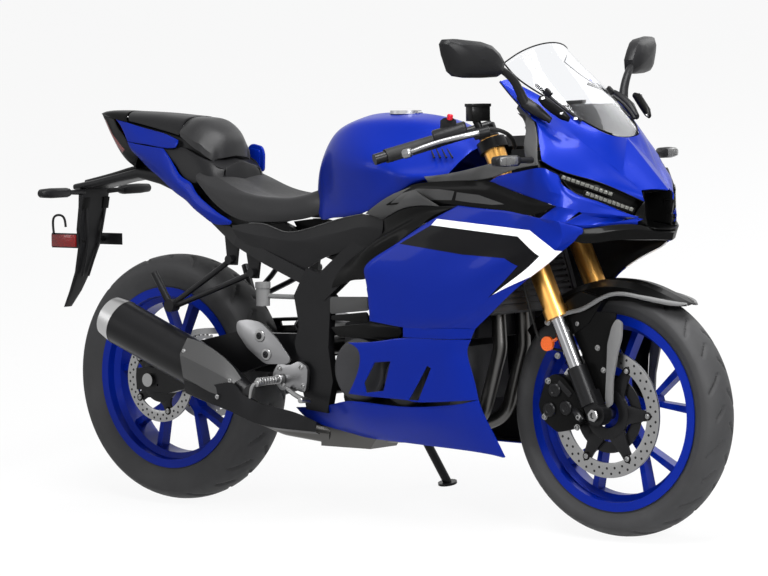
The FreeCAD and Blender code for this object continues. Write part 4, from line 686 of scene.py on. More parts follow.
NOSE_CREASE = [(1168, 179, 1061), (1209, 167, 1036), (1254, 160, 1010), (1311, 141, 966),
               (1363, 122, 919), (1403, 96, 881), (1437, 73, 846), (1477, 56, 811)]
SCREEN_SEAT = [(1179, 159, 1066), (1223, 138, 1041), (1272, 126, 1015), (1320, 106, 984),
               (1364, 84, 954), (1392, 58, 936), (1398, 0, 929), (1513, 0, 810)]
NOSE_STEP = [(1168, 179, 1061), (1228, 191, 1012), (1275, 185, 970), (1321, 154, 942),
             (1366, 124, 915), (1405, 98, 876), (1439, 76, 842), (1478, 57, 808)]
BROW = NOSE_STEP[:3] + [(1320, 225, 883), (1350, 207, 863), (1390, 171, 845), (1425, 138, 830),
                         (1486, 58, 785)]
BLADE_TOP = [(1159, 212, 832), (1193, 220, 846), (1262, 232, 857), (1326, 236, 866), (1340, 223, 860),
             (1356, 213, 850), (1368, 216, 831), (1385, 201, 814), (1424, 152, 788), (1471, 75, 751)]
BLADE_CREASE = [(1159, 212, 832), (1200, 220, 824), (1262, 227, 819), (1324, 231, 815), (1350, 231, 812),
                (1372, 221, 804), (1381, 210, 798), (1401, 186, 788), (1434, 141, 773), (1482, 76, 751)]
BLADE_LOW = [(1159, 212, 832), (1195, 217, 821), (1248, 222, 808), (1300, 227, 795), (1335, 229, 787),
             (1363, 231, 779), (1376, 222, 777), (1399, 190, 766), (1437, 139, 758), (1481, 77, 748)]
WING_EDGE = [(1317, 232, 751), (1355, 234, 747), (1381, 221, 742), (1400, 191, 735), (1440, 135, 738),
             (1481, 77, 740)]


def between(a, b, share, push=(0, 0, 0)):
    """The row part way from row a to row b, pushed by an offset of (x, w, z)."""
    return [tuple(p + (q - p) * share + d for p, q, d in zip(s, t, push)) for s, t in zip(a, b)]


def bowed(a, b, push):
    """Rows a and b, with a row half way between them that is pushed by (x, w, z)."""
    return [a, between(a, b, 0.5, push), b]


def shift(row, push):
    return [tuple(p + d for p, d in zip(spot, push)) for spot in row]


def nose_cowl():
    nose = Piece("nose_shell", "blue_plastic")
    up, side = (0.5, -0.3, 1), (0.2, -1, 0.2)
    nose.patch(bowed(SCREEN_SEAT, NOSE_CREASE, (1, 1, 2.5)), up, corners=(6,))
    nose.patch([NOSE_CREASE, NOSE_STEP], up)
    nose.patch(bowed(NOSE_STEP, BROW, (2, 4, 2)), (0.5, -1, 0.6), corners=(2, 3))
    nose.patch(bowed(BLADE_TOP, BLADE_CREASE, (0, 1.5, 0)), side, corners=(5,))
    nose.patch([BLADE_CREASE, BLADE_LOW], side, corners=(5,))
    wing_top = BLADE_LOW[5:]
    scoop = [(1403, 184, 761), (1420, 148, 751), (1460, 86, 747)]
    nose.patch([wing_top[:3], WING_EDGE[:3]], side)
    nose.patch([wing_top[2:], scoop, WING_EDGE[2:5]], side, sharp_rows=(1,))
    nose.patch([[wing_top[4], (1488, 66, 745)], WING_EDGE[4:]], side)
    nose.patch([WING_EDGE, shift(WING_EDGE, (-3, -3, -7))], side)
    nose.both_sides(bevel=0.8, angle=14, replaces=("nose_cowl",), **SHELL)


FAIRING_ROWS = [
    [(1062, 207, 775), (1150, 215, 769), (1230, 222, 764), (1317, 231, 751), (1372, 232, 744),
     (1403, 188, 730)],
    [(976, 207, 737), (1100, 216, 733), (1215, 224, 727), (1317, 231, 715), (1375, 225, 705),
     (1401, 188, 712)],
    [(900, 208, 696), (1040, 217, 690), (1180, 226, 683), (1290, 231, 678), (1351, 229, 673),
     (1356, 209, 671)],
    [(860, 208, 674), (1000, 218, 662), (1130, 226, 652), (1240, 230, 644), (1296, 205, 639),
     (1313, 194, 646)],
    [(783, 208, 630), (930, 218, 610), (1060, 225, 598), (1160, 227, 592), (1221, 214, 599),
     (1236, 189, 599)],
    [(780, 207, 590), (900, 216, 565), (1010, 221, 553), (1090, 221, 545), (1156, 219, 561),
     (1193, 204, 560)],
    [(787, 206, 531), (880, 212, 520), (960, 215, 512), (1035, 214, 506), (1101, 213, 521),
     (1149, 198, 527)],
    [(789, 205, 496), (840, 206, 490), (891, 206, 485), (960, 206, 485), (1033, 206, 487),
     (1096, 193, 487)],
]
FAIRING_BAND = [FAIRING_ROWS[7][2:],
          [(890, 205, 461), (960, 205, 461), (1030, 204, 462), (1083, 192, 464)]]
WHITE_BAND = [(999, 743), (1287, 723), (1372, 670), (1168, 570), (1311, 664), (1251, 708), (982, 728)]
BLACK_BAND = [(982, 728), (1251, 708), (1311, 664), (1168, 570), (1155, 563), (1248, 640), (1214, 657),
              (1083, 662), (886, 682)]


def side_fairings():
    panel = Piece("fairing_shell", "blue_plastic", more=("white_stripe", "black_stripe"))
    out = (0.2, -1, 0)
    panel.patch(FAIRING_ROWS, out, along=8, across=6, corners=(4,))
    panel.patch(FAIRING_BAND, out, along=8)
    panel.weld(SEAM)
    panel.paint(WHITE_BAND, 1)
    panel.paint(BLACK_BAND, 2)
    panel.mirror()
    panel.done(bevel=0.9, replaces=("side_fairings",), **SHELL)


BELLY_ROWS = [
    [(712, 196, 441), (800, 199, 447), (889, 203, 459), (990, 204, 460), (1046, 202, 461),
     (1083, 192, 461)],
    [(745, 198, 425), (800, 200, 426), (890, 204, 428), (985, 204, 430), (1036, 200, 431),
     (1068, 187, 432)],
    [(744, 197, 376), (800, 198, 374), (885, 200, 372), (975, 198, 372), (1035, 192, 374),
     (1076, 177, 376)],
    [(709, 192, 318), (790, 195, 314), (895, 196, 311), (916, 194, 308), (1035, 183, 315),
     (1084, 168, 319)],
]
KEEL_ROWS = [
    [(481, 120, 268), (600, 145, 280), (700, 183, 298), (790, 184, 296), (900, 184, 294), (975, 178, 300),
     (1040, 179, 308), (1084, 168, 319)],
    [(505, 119, 248), (605, 138, 252), (700, 168, 262), (795, 172, 262), (900, 171, 262), (978, 168, 264),
     (1046, 164, 268), (1094, 158, 280)],
    [(535, 117, 228), (612, 126, 228), (702, 144, 228), (800, 147, 228), (900, 148, 228), (982, 148, 227),
     (1052, 146, 227), (1112, 142, 230)],
    [(564, 112, 211), (616, 114, 214), (700, 120, 206), (800, 123, 201), (900, 125, 197), (982, 128, 194),
     (1057, 130, 190), (1131, 130, 183)],
    [(570, 60, 209), (616, 62, 208), (700, 70, 201), (800, 76, 197), (900, 84, 193), (982, 92, 190),
     (1050, 105, 187), (1120, 124, 181)],
]
BELLY_VENT = [(796, 397), (847, 402), (821, 330), (766, 323), (760, 345)]
BELLY_SLOT = [(958, 396), (969, 391), (924, 311), (897, 312)]


def belly_pan():
    pan = Piece("belly_shell", "blue_plastic")
    pan.patch(BELLY_ROWS, (0.2, -1, -0.1), along=8, across=6)
    pan.patch(KEEL_ROWS, (0, -1, -0.6), along=8, across=5, sharp_rows=(3,))
    pan.weld(SEAM)
    pan.open_up(BELLY_VENT)
    pan.open_up(BELLY_SLOT)
    pan.mirror()
    pan.done(bevel=0.9, replaces=("belly_pan",), **SHELL)


WEDGE_TOP = [(833, 186, 772), (870, 187, 797), (901, 188, 817), (960, 192, 827), (1029, 199, 832),
             (1130, 213, 834), (1180, 217, 829), (1230, 222, 813), (1300, 228, 796), (1363, 231, 779)]
WEDGE_LOW = [(833, 186, 771), (880, 187, 775), (930, 188, 778), (965, 190, 779), (1062, 205, 776),
             (1154, 214, 769), (1190, 218, 766), (1225, 221, 763), (1286, 228, 758), (1363, 231, 778)]
SCOOP_REAR = [(846, 776), (880, 800), (930, 812), (1000, 812), (1052, 808), (1040, 787), (960, 786)]
SCOOP_FRONT = [(1060, 806), (1130, 801), (1210, 781), (1170, 779), (1100, 783), (1052, 787)]


def wedge_panels():
    wedge = Piece("wedge_shell", "gloss_black", more=("smoke",))
    upper = between(WEDGE_TOP, WEDGE_LOW, 0.35, (0, 5, 2))
    lower = between(WEDGE_TOP, WEDGE_LOW, 0.7, (0, 3, 0))
    wedge.patch([WEDGE_TOP, upper, lower, WEDGE_LOW], (0, -1, 0.3), along=8, across=5)
    wedge.weld(SEAM)
    wedge.paint(SCOOP_REAR, 1)
    wedge.paint(SCOOP_FRONT, 1)
    wedge.mirror()
    wedge.done(bevel=0.8, replaces=("wedge_panels",), **SHELL)


TANK_ROWS = [
    [(498, 0, 836), (520, 0, 888), (562, 0, 948), (604, 0, 972), (661, 0, 984), (786, 0, 985),
     (878, 0, 972), (945, 0, 944), (994, 0, 908)],
    [(500, 28, 830), (524, 40, 880), (566, 54, 936), (610, 64, 958), (664, 72, 970), (786, 74, 971),
     (878, 68, 956), (942, 58, 930), (990, 50, 900)],
    [(504, 48, 820), (530, 68, 864), (572, 88, 910), (616, 100, 934), (668, 108, 946), (742, 110, 944),
     (836, 104, 930), (920, 92, 906), (987, 84, 884)],
    [(508, 57, 800), (536, 82, 832), (580, 108, 860), (624, 130, 874), (690, 150, 880), (760, 160, 880),
     (840, 154, 870), (930, 126, 866), (987, 114, 868)],
    [(510, 60, 786), (545, 88, 790), (585, 108, 800), (632, 130, 810), (700, 150, 822), (770, 164, 834),
     (835, 170, 846), (897, 172, 846), (988, 144, 850)],
    [(514, 64, 772), (556, 104, 730), (600, 118, 733), (664, 134, 738), (734, 148, 752), (813, 164, 786),
     (860, 170, 806), (903, 172, 824), (980, 160, 838)],
]


def fuel_tank():
    tank = Piece("tank_shell", "blue_paint")
    tank.patch(TANK_ROWS, (0, -1, 1), along=6, across=6)
    tank.both_sides(thick=2.0, bevel=0.8, replaces=("fuel_tank",))
    # The four slots in the tank's cover are dark strokes laid on its surface: painted shade, not cut
    slots = Piece("tank_slot_shade", "black_plastic")
    for k in range(4):
        top = (907 + 14 * k, 112 - 3 * k, 903)
        low = (925 + 16 * k, 122 - 3 * k, 882)
        slots.tube([on_side(top), on_side(low)], (1.2, 2.6), 8, 2)
    slots.mirror()
    slots.done()


SEAT_ROWS = [
    [(180, 0, 838), (232, 0, 815), (300, 0, 786), (390, 0, 770), (470, 0, 770), (515, 0, 782),
     (540, 0, 795)],
    [(176, 50, 842), (232, 54, 820), (300, 58, 790), (390, 60, 773), (465, 54, 774), (508, 44, 788),
     (532, 36, 801)],
    [(164, 88, 842), (228, 92, 820), (296, 98, 794), (380, 98, 781), (446, 86, 781), (500, 66, 793),
     (528, 54, 804)],
    [(158, 112, 832), (215, 114, 806), (290, 114, 784), (360, 114, 773), (430, 106, 770), (505, 90, 778),
     (559, 66, 775)],
    [(166, 118, 816), (220, 121, 788), (295, 122, 756), (372, 121, 742), (440, 116, 742), (512, 100, 750),
     (568, 72, 762)],
    [(176, 116, 804), (226, 120, 762), (300, 120, 726), (378, 119, 719), (445, 113, 722), (515, 98, 732),
     (566, 74, 753)],
]
PAD_ROWS = [
    [(74, 0, 976), (113, 0, 972), (136, 0, 965), (164, 0, 950), (181, 0, 934), (192, 0, 912),
     (194, 0, 878)],
    [(74, 40, 970), (113, 45, 968), (136, 46, 960), (162, 42, 944), (178, 36, 930), (188, 34, 911),
     (190, 34, 874)],
    [(76, 70, 950), (112, 72, 950), (136, 72, 939), (154, 68, 929), (168, 62, 916), (178, 58, 900),
     (180, 56, 872)],
    [(80, 86, 938), (112, 90, 926), (136, 90, 914), (150, 86, 908), (164, 80, 894), (175, 72, 884),
     (178, 66, 868)],
    [(84, 87, 927), (116, 90, 908), (138, 90, 895), (152, 88, 888), (163, 82, 878), (173, 75, 870),
     (177, 66, 862)],
]
REAR_PAD_ROWS = [
    [(-140, 0, 990), (-90, 0, 988), (-20, 0, 984), (40, 0, 979), (78, 0, 977)],
    [(-138, 30, 986), (-90, 38, 984), (-20, 46, 980), (40, 50, 975), (77, 52, 971)],
    [(-130, 48, 976), (-85, 56, 972), (-20, 64, 966), (38, 70, 960), (76, 72, 954)],
    [(-124, 52, 964), (-80, 60, 958), (-20, 70, 948), (36, 78, 938), (76, 84, 930)],
]


def seats():
    saddle = Piece("saddle", "vinyl")
    saddle.patch(SEAT_ROWS, (0, -1, 1), along=6, across=5, sharp_rows=(2,))
    saddle.both_sides(thick=6, bevel=2.0, angle=24, replaces=("rider_seat",))
    pad = Piece("pillion_pad", "vinyl")
    pad.patch(PAD_ROWS, (0.3, -1, 1), along=5, across=4, sharp_rows=(2, 3))
    pad.both_sides(thick=6, bevel=2.2, angle=20, replaces=("passenger_seat",))
    rear = Piece("pillion_rear", "black_plastic")
    rear.patch(REAR_PAD_ROWS, (0, -1, 1), along=5, across=4)
    rear.both_sides(thick=6, bevel=1.6)


UPPER_TAIL = [
    [(-182, 42, 970), (-130, 53, 961), (-53, 63, 946), (20, 76, 934), (75, 88, 919)],
    [(-150, 54, 950), (-100, 64, 938), (-40, 72, 926), (26, 84, 914), (77, 92, 909)],
    [(-116, 68, 913), (-76, 74, 909), (-37, 80, 906), (30, 88, 898), (70, 93, 899)],
]
LOW_TAIL = [
    [(-116, 68, 912), (-60, 78, 905), (28, 92, 897), (66, 99, 862), (100, 104, 828), (136, 109, 812),
     (156, 113, 790), (200, 118, 760), (240, 120, 738), (281, 121, 720)],
    [(-98, 74, 892), (-40, 86, 874), (22, 97, 856), (60, 104, 829), (94, 110, 806), (128, 114, 788),
     (150, 117, 766), (196, 121, 742), (238, 122, 727), (279, 122, 715)],
    [(-81, 68, 875), (-38, 80, 850), (14, 92, 824), (50, 99, 803), (84, 104, 784), (119, 109, 768),
     (146, 113, 750), (188, 117, 727), (224, 119, 711), (275, 120, 711)],
]
TAIL_MIDDLE_TOP = [(-116, 62, 911), (-37, 74, 904), (60, 86, 897), (91, 88, 900), (130, 90, 886),
                   (158, 88, 874), (184, 84, 862), (200, 78, 850), (212, 66, 845)]
TAIL_MIDDLE_LOW = [(-114, 62, 905), (-37, 80, 880), (60, 94, 866), (100, 100, 830), (140, 104, 812),
                   (170, 104, 820), (190, 98, 826), (206, 88, 824), (216, 70, 822)]
TAIL_DECK = [[(60, 0, 905), (110, 0, 900), (150, 0, 890), (180, 0, 875), (212, 0, 862)],
             [(60, 84, 897), (110, 88, 890), (150, 88, 874), (182, 84, 860), (212, 66, 845)]]
TAIL_FRONT = [[(212, 0, 866), (216, 0, 850), (220, 0, 830), (224, 0, 795)],
              [(210, 60, 850), (214, 64, 838), (216, 68, 824), (222, 72, 795)]]
TAIL_CORE = [(-150, 956, 40, 12), (-53, 930, 56, 26), (20, 912, 70, 36), (90, 896, 80, 40),
             (150, 876, 76, 36), (176, 868, 62, 28)]


def tail_cowl():
    tail = Piece("tail_shell", "blue_plastic")
    tail.patch(UPPER_TAIL, (0, -1, 0.6), along=5, across=4)
    tail.patch(LOW_TAIL, (0, -1, 0.2), along=4, across=4, corners=(2,))
    tail.both_sides(bevel=0.9, replaces=("tail_cowl",), **SHELL)
    inner = Piece("tail_middle", "black_plastic")
    inner.patch(bowed(TAIL_MIDDLE_TOP, TAIL_MIDDLE_LOW, (0, 2, 0)), (0, -1, 0.3), along=4, across=3)
    inner.patch(TAIL_DECK, (0, 0, 1), along=4, across=4)
    inner.patch(TAIL_FRONT, (1, 0, 0), along=4, across=4)
    inner.both_sides(thick=2.4, bevel=0.8)
    core = Piece("tail_core", "black_plastic")
    core.loft([((x, 0, z), (0, w, 0), (0, 0, up)) for x, z, w, up in TAIL_CORE], 28, power=4)
    core.done()
    belly = Piece("tail_under", "black_plastic")
    edge = LOW_TAIL[2]
    rows = [edge, [(x, w * 0.55, z - 6) for x, w, z in edge], [(x, 0, z - 8) for x, w, z in edge]]
    belly.patch(rows, (0, 0, -1), along=3, across=3)
    belly.both_sides(thick=2.0)


LAMP_ROWS = [
    [(-266, 0, 983), (-230, 0, 938), (-190, 0, 892), (-150, 0, 862), (-110, 0, 842)],
    [(-250, 16, 981), (-222, 26, 946), (-186, 36, 905), (-146, 44, 868), (-104, 50, 846)],
    [(-226, 26, 975), (-204, 34, 946), (-176, 44, 914), (-134, 56, 886), (-84, 64, 872)],
]
LAMP_STRIP = [(-250, 964), (-232, 968), (-196, 930), (-138, 892), (-150, 884), (-210, 925)]
TAIL_TIP_SIDE = [(-184, 44, 969), (-166, 50, 948), (-140, 58, 930), (-116, 67, 911), (-82, 68, 875)]
TAIL_TIP_TOP = [[(-266, 0, 983), (-240, 0, 989), (-190, 0, 991), (-140, 0, 990)],
                [(-250, 18, 981), (-232, 26, 985), (-186, 34, 987), (-138, 40, 984)],
                [(-226, 26, 975), (-208, 36, 974), (-184, 44, 970), (-132, 54, 963)]]


def tail_end():
    end = Piece("tail_end", "gloss_black", more=("red_lens",))
    end.patch(LAMP_ROWS, (-1, -0.6, 0), along=6, across=5)
    end.patch([LAMP_ROWS[2], TAIL_TIP_SIDE], (-0.3, -1, 0), along=6)
    end.patch(TAIL_TIP_TOP, (0, 0, 1), along=5, across=4)
    end.weld(SEAM)
    end.paint(LAMP_STRIP, 1)
    end.mirror()
    end.done(thick=2.4, bevel=0.8, replaces=("tail_light",))


COVER_ROWS = [
    [(280, 119, 709), (340, 121, 716), (395, 122, 714), (459, 127, 698), (529, 131, 705), (606, 136, 724),
     (670, 144, 738), (727, 151, 747), (792, 153, 736)],
    [(284, 121, 700), (348, 128, 690), (405, 132, 684), (465, 137, 678), (532, 141, 682), (606, 146, 694),
     (672, 152, 706), (728, 156, 716), (792, 156, 712)],
    [(290, 120, 688), (352, 127, 668), (420, 133, 652), (488, 138, 664), (550, 142, 668), (612, 146, 671),
     (672, 150, 674), (724, 153, 678), (779, 154, 682)],
    [(300, 119, 680), (356, 124, 648), (439, 130, 617), (509, 135, 602), (548, 137, 616), (596, 140, 638),
     (640, 144, 650), (690, 148, 660), (745, 150, 672)],
]


def side_covers():
    cover = Piece("side_cover_shell", "black_plastic")
    cover.patch(COVER_ROWS, OUT, along=5, across=5, sharp_rows=(1,))
    cover.both_sides(thick=3, bevel=1.2, angle=12, replaces=("side_covers",))
    edge = Piece("side_cover_edge", "smoke")
    edge.tube([on_side((x, w + 0.6, z)) for x, w, z in COVER_ROWS[0][1:8]], 1.3, 8, 5)
    edge.mirror()
    edge.done()


GREY_STRIP = [
    [(735, 152, 748), (776, 166, 768), (815, 178, 785), (860, 186, 802), (905, 190, 815)],
    [(792, 156, 735), (830, 172, 748), (870, 184, 762), (930, 194, 772), (1000, 203, 772)],
]
GLOSS_STRIP = [
    [(794, 156, 734), (870, 182, 760), (940, 196, 770), (1000, 202, 772), (1062, 207, 774)],
    [(799, 160, 706), (850, 176, 720), (905, 190, 738), (955, 198, 750), (1000, 203, 757)],
    [(690, 152, 640), (740, 176, 658), (783, 200, 672), (860, 205, 690), (940, 207, 722)],
    [(600, 148, 560), (660, 158, 575), (720, 176, 590), (776, 196, 600), (790, 203, 640)],
]
SLATS = [
    [(754, 170, 550), (754, 170, 517), (618, 150, 503), (619, 150, 545)],
    [(757, 170, 487), (862, 178, 482), (866, 180, 467), (848, 178, 450), (647, 158, 449), (621, 152, 472)],
    [(622, 150, 500), (750, 168, 514), (757, 170, 490), (622, 150, 488)],
]


def middle_trim():
    """The dark pieces between tank, frame and fairing."""
    strip = Piece("frame_cover", "smoke")
    strip.patch(bowed(*GREY_STRIP, (0, 3, 1)), (0, -1, 0.2), along=6, across=4)
    strip.mirror()
    strip.done(thick=3, bevel=1.0)
    gloss = Piece("inner_fairing", "gloss_black")
    gloss.patch(GLOSS_STRIP, OUT, along=5, across=5)
    gloss.mirror()
    gloss.done(thick=2.4, bevel=0.8)
    slats = Piece("side_slats", "smoke", more=("gloss_black",))
    for outline, depth, finish in zip(SLATS, (8, 12, 6), (0, 1, 1)):
        low_x, high_x = min(x for x, _, _ in outline), max(x for x, _, _ in outline)
        low_w, high_w = min(w for _, w, _ in outline), max(w for _, w, _ in outline)

        def place(x, z, side, depth=depth):
            w = low_w + (high_w - low_w) * (x - low_x) / (high_x - low_x)
            return (x, RIGHT * (w - side * depth), z)

        slats.slab(rounded([(x, z) for x, _, z in outline], 8), place, finish)
    slats.mirror()
    slats.done(bevel=2.5)


# Front: screen, lamps, cockpit, signals

SCREEN_MID = [(1185, 0, 1150), (1212, 0, 1118), (1240, 0, 1088), (1279, 0, 1050), (1335, 0, 992),
              (1370, 0, 956), (1396, 0, 930)]
SCREEN_EDGE = [(1133, 118, 1104), (1175, 128, 1072), (1228, 130, 1042), (1271, 122, 1018), (1321, 104, 986),
               (1364, 82, 956), (1392, 50, 938)]
ARCH = [(-1, 1), (-0.8, 0.48), (-0.45, 0.13), (0, 0), (0.45, 0.13), (0.8, 0.48), (1, 1)]


def arch(middle, edge, lower=0.0, width=1.0):
    """A row right across the machine through a middle point, from one edge to the other."""
    row = []
    for share, drop in ARCH:
        x, _, z = (m + (e - m) * drop * width for m, e in zip(middle, edge))
        row.append((x - lower * 0.5, edge[1] * share * width, z - lower))
    return row


def windscreen():
    screen = Piece("screen_sheet", "clear")
    screen.patch([arch(m, e) for m, e in zip(SCREEN_MID, SCREEN_EDGE)], (0.5, 0, 1), along=4, across=5)
    screen.done(thick=3, bevel=0.8, replaces=("windscreen",))
    edge = Piece("screen_edge", "gloss_black")
    sides = [on_side(spot) for spot in SCREEN_EDGE]
    edge.tube(sides, 2.0, 8, 5)
    edge.tube([(x, -y, z) for x, y, z in sides], 2.0, 8, 5)
    edge.tube(arch(SCREEN_MID[0], SCREEN_EDGE[0]), 1.8, 8, 5)
    edge.done()
    cover = Piece("screen_inner", "black_plastic")
    top = between(SCREEN_MID[3:4], SCREEN_MID[4:5], 0.6)[0]
    top_edge = between(SCREEN_EDGE[3:4], SCREEN_EDGE[4:5], 0.1)[0]
    rows = [arch(m, e, 8, 0.94) for m, e in zip(SCREEN_MID[4:], SCREEN_EDGE[4:])]
    cover.patch([arch(top, top_edge, 9, 0.94)] + rows, (0.5, 0, 1), along=4, across=4)
    cover.done(thick=2, bevel=0.6)
    bracket = Piece("screen_brackets", "black_plastic")
    bracket.tube([(1212, -100, 1052), (1252, -118, 1034), (1300, -122, 1004), (1345, -104, 970)], 4, 8, 5)
    bracket.block((1262, -122, 1034), (20, 9, 16), Matrix.Rotation(0.7, 4, "Y"))
    bracket.mirror()
    bracket.done(bevel=1.0)


LAMP_MODULES = 11
BARS = [((1362, 208, 846), (1443, 122, 803)), ((1405, 175, 808), (1471, 82, 767))]
RECESS_TOP = BROW[3:]
RECESS_LOW = [BLADE_TOP[3], BLADE_TOP[5], *BLADE_TOP[7:]]
DUCT = [[(1483, 54, 806), (1484, 56, 786), (1484, 52, 755), (1485, 47, 730)],
        [(1420, 44, 800), (1420, 44, 786), (1422, 42, 755), (1422, 38, 738)],
        [(1419, 0, 800), (1419, 0, 786), (1421, 0, 755), (1421, 0, 738)]]
LAMP_CHEEK = [[(1486, 58, 785), (1476, 70, 766), (1471, 75, 751), (1481, 77, 744)],
              [(1484, 56, 786), (1484, 54, 768), (1484, 52, 755), (1485, 47, 730)]]
DUCT_FLOOR = [[spots[3] for spots in DUCT],
              [(1508, 46, 722), (1455, 34, 722), (1450, 0, 722)],
              [(1520, 0, 718), (1480, 0, 720), (1450, 0, 721)]]


def lamps():
    """Slit lamps: a row of small modules in a dark frame, on either side of the duct."""
    hollow = Piece("lamp_housing", "gloss_black")
    deep = (-18, -12, 0)
    forward = (1, -1, 0)
    rows = [RECESS_TOP, shift(RECESS_TOP, deep), shift(RECESS_LOW, deep), RECESS_LOW]
    hollow.patch(rows, forward, along=5, across=3, sharp_rows=(1, 2))
    hollow.patch(LAMP_CHEEK, forward, along=4)
    hollow.patch(DUCT, forward, along=4, across=4, sharp_rows=(1,))
    hollow.patch(DUCT_FLOOR, (0, 0, 1), along=3, across=3)
    hollow.both_sides(thick=2, bevel=0.5, offset=1, replaces=("headlights",))
    strips = Piece("lamp_strips", "led", more=("gloss_black",))
    for start, end in BARS:
        start, end = Vector(on_side(start)), Vector(on_side(end))
        span = (end - start).length
        run = (end - start).normalized()
        across = run.cross(Vector((0.35, 0.25, 0.9))).normalized()
        up = across.cross(run).normalized()
        turn = Matrix((run, across, up)).transposed().to_4x4()
        pitch = span / LAMP_MODULES
        for k in range(LAMP_MODULES):
            strips.block(start + run * pitch * (k + 0.5), (pitch * 0.86, 9, 8), turn)
        strips.block((start + end) / 2 - up * 1, (span + 8, 6, 13), turn, 1)
    strips.mirror()
    strips.done(bevel=0.9)


JAW = [
    [(1317, 228, 742), (1378, 216, 733), (1400, 189, 727), (1440, 134, 733), (1480, 76, 733),
     (1496, 48, 724), (1512, 0, 719)],
    [(1317, 228, 736), (1376, 214, 722), (1402, 188, 713), (1450, 130, 720), (1486, 78, 722),
     (1508, 40, 716), (1527, 0, 712)],
    [(1316, 214, 730), (1372, 204, 706), (1404, 180, 693), (1445, 122, 698), (1482, 70, 698),
     (1506, 34, 697), (1522, 0, 694)],
    [(1300, 190, 728), (1370, 180, 704), (1400, 160, 698), (1430, 120, 698), (1450, 70, 697),
     (1462, 36, 695), (1470, 0, 694)],
]


def nose_jaw():
    jaw = Piece("nose_jaw", "gloss_black")
    jaw.patch(JAW, (0.5, -1, -0.4), along=5, across=4, sharp_rows=(1, 2))
    jaw.both_sides(thick=2.4, bevel=0.8)


DASH_TOP = [(935, 174, 840), (1008, 174, 848), (1068, 178, 858), (1130, 188, 870), (1200, 200, 882),
            (1262, 207, 886)]
DASH_LOW = [(955, 184, 826), (1030, 190, 829), (1100, 200, 834), (1170, 212, 843), (1240, 220, 862),
            (1312, 228, 872)]
DASH_SIDE = [[(1262, 207, 886), (1256, 204, 925), (1250, 190, 957), (1222, 186, 1000)],
             [(1312, 228, 872), (1300, 214, 900), (1272, 186, 966), (1228, 190, 1008)]]

# Distance out along the meter's axis, half width, half height
METER_BODY = [(-34, 48, 24), (-30, 62, 32), (-6, 84, 44), (10, 88, 47), (14, 86, 45), (14, 80, 39)]
METER_GLASS = [(10, 79, 38), (12.5, 78, 37), (13, 76, 35)]
LINING_FRONT = [[(1230, 196, 990), (1262, 180, 950), (1290, 170, 900), (1300, 180, 870)],
                [(1300, 140, 960), (1325, 130, 925), (1345, 130, 890), (1350, 150, 860)],
                [(1370, 0, 935), (1390, 0, 905), (1400, 0, 880), (1400, 0, 860)]]
LINING_SIDE = [[(1190, 168, 905), (1240, 168, 905), (1290, 160, 900)],
               [(1190, 168, 820), (1240, 168, 820), (1290, 160, 820)]]


def cockpit_panels():
    panel = Piece("cockpit_panels", "smoke")
    panel.patch(bowed(DASH_TOP, DASH_LOW, (0, 3, 3)), (0, -1, 0.6), along=5, across=4)
    panel.patch(DASH_SIDE, (-1, 1, 0), along=5)
    panel.both_sides(thick=2.2, bevel=0.8, replaces=("cockpit",))
    meter = Piece("meter", "black_plastic", more=("gloss_black",))
    out, up = Vector((-0.80, 0, 0.60)), Vector((0.60, 0, 0.80))
    spot = Vector((1262, 0, 962))
    meter.loft([(spot + out * d, (0, w, 0), up * high) for d, w, high in METER_BODY], 40, power=4.5)
    meter.loft([(spot + out * d, (0, w, 0), up * high) for d, w, high in METER_GLASS], 40, 1, 5)
    for side in (RIGHT, LEFT):
        meter.tube([(1290, side * 60, 950), (1330, side * 84, 930), (1362, side * 96, 900)], 7, 10, 4)
    meter.tube([(1278, 0, 935), (1330, 0, 900), (1400, 0, 850)], 9, 10, 4)
    meter.done(bevel=0.6, angle=40)
    lining = Piece("nose_lining", "black_plastic")
    lining.patch(LINING_FRONT, (-1, 0, 0.3), along=4, across=4)
    lining.patch(LINING_SIDE, OUT, along=3, across=3)
    lining.mirror()
    lining.done(thick=2)


# Share of the signal's length, half depth, half height
SIGNAL_STEM = [(0, 9, 8), (0.3, 7, 6), (0.36, 11, 11)]
SIGNAL_BODY = [(0.34, 8, 8), (0.42, 15, 12.5), (0.75, 16, 13), (0.95, 14, 11), (1.0, 8, 6)]
SIGNAL_LENS = [(0.46, 4, 8), (0.5, 8, 10.5), (0.75, 8.5, 11), (0.91, 7, 9), (0.955, 3, 5)]


def signal(piece, root, tip, ahead):
    """One indicator: a stem, a dark body and a ribbed lens that looks ahead or back."""
    root, tip = Vector(root), Vector(tip)
    run = (tip - root).normalized()
    up = Vector((0, 0, 1)) - run * run.z
    up.normalize()
    face = up.cross(run) * ahead
    span = (tip - root).length

    def rings(table, proud=0):
        return [(root + run * span * s + face * proud, face * deep, up * high) for s, deep, high in table]

    piece.loft(rings(SIGNAL_STEM), 16, power=2.4)
    piece.loft(rings(SIGNAL_BODY), 24, power=3)
    piece.loft(rings(SIGNAL_LENS, 10), 24, 1, 3)
    for k in range(3):
        mid = root + run * span * (0.6 + 0.1 * k) + face * 18
        piece.rod(mid - up * 8, mid + up * 8, 1.2, 6, 0, 1)


def signals():
    front = Piece("signals", "black_plastic", more=("clear_lens",))
    signal(front, (1300, -238, 884), (1281, -354, 884), 1)
    signal(front, (-300, -40, 781), (-296, -205, 783), -1)
    front.mirror()
    front.done(bevel=0.5, angle=40, replaces=("turn_signals",))


# Mirrors, rear, controls and running gear

MIRROR_RIM = [(1181, 409, 1151), (1183, 402, 1161), (1190, 374, 1162), (1208, 307, 1155), (1216, 282, 1147),
              (1223, 260, 1128), (1226, 245, 1106), (1225, 249, 1081), (1220, 264, 1073), (1210, 301, 1072),
              (1196, 347, 1073), (1189, 374, 1077), (1185, 388, 1088), (1182, 404, 1127)]

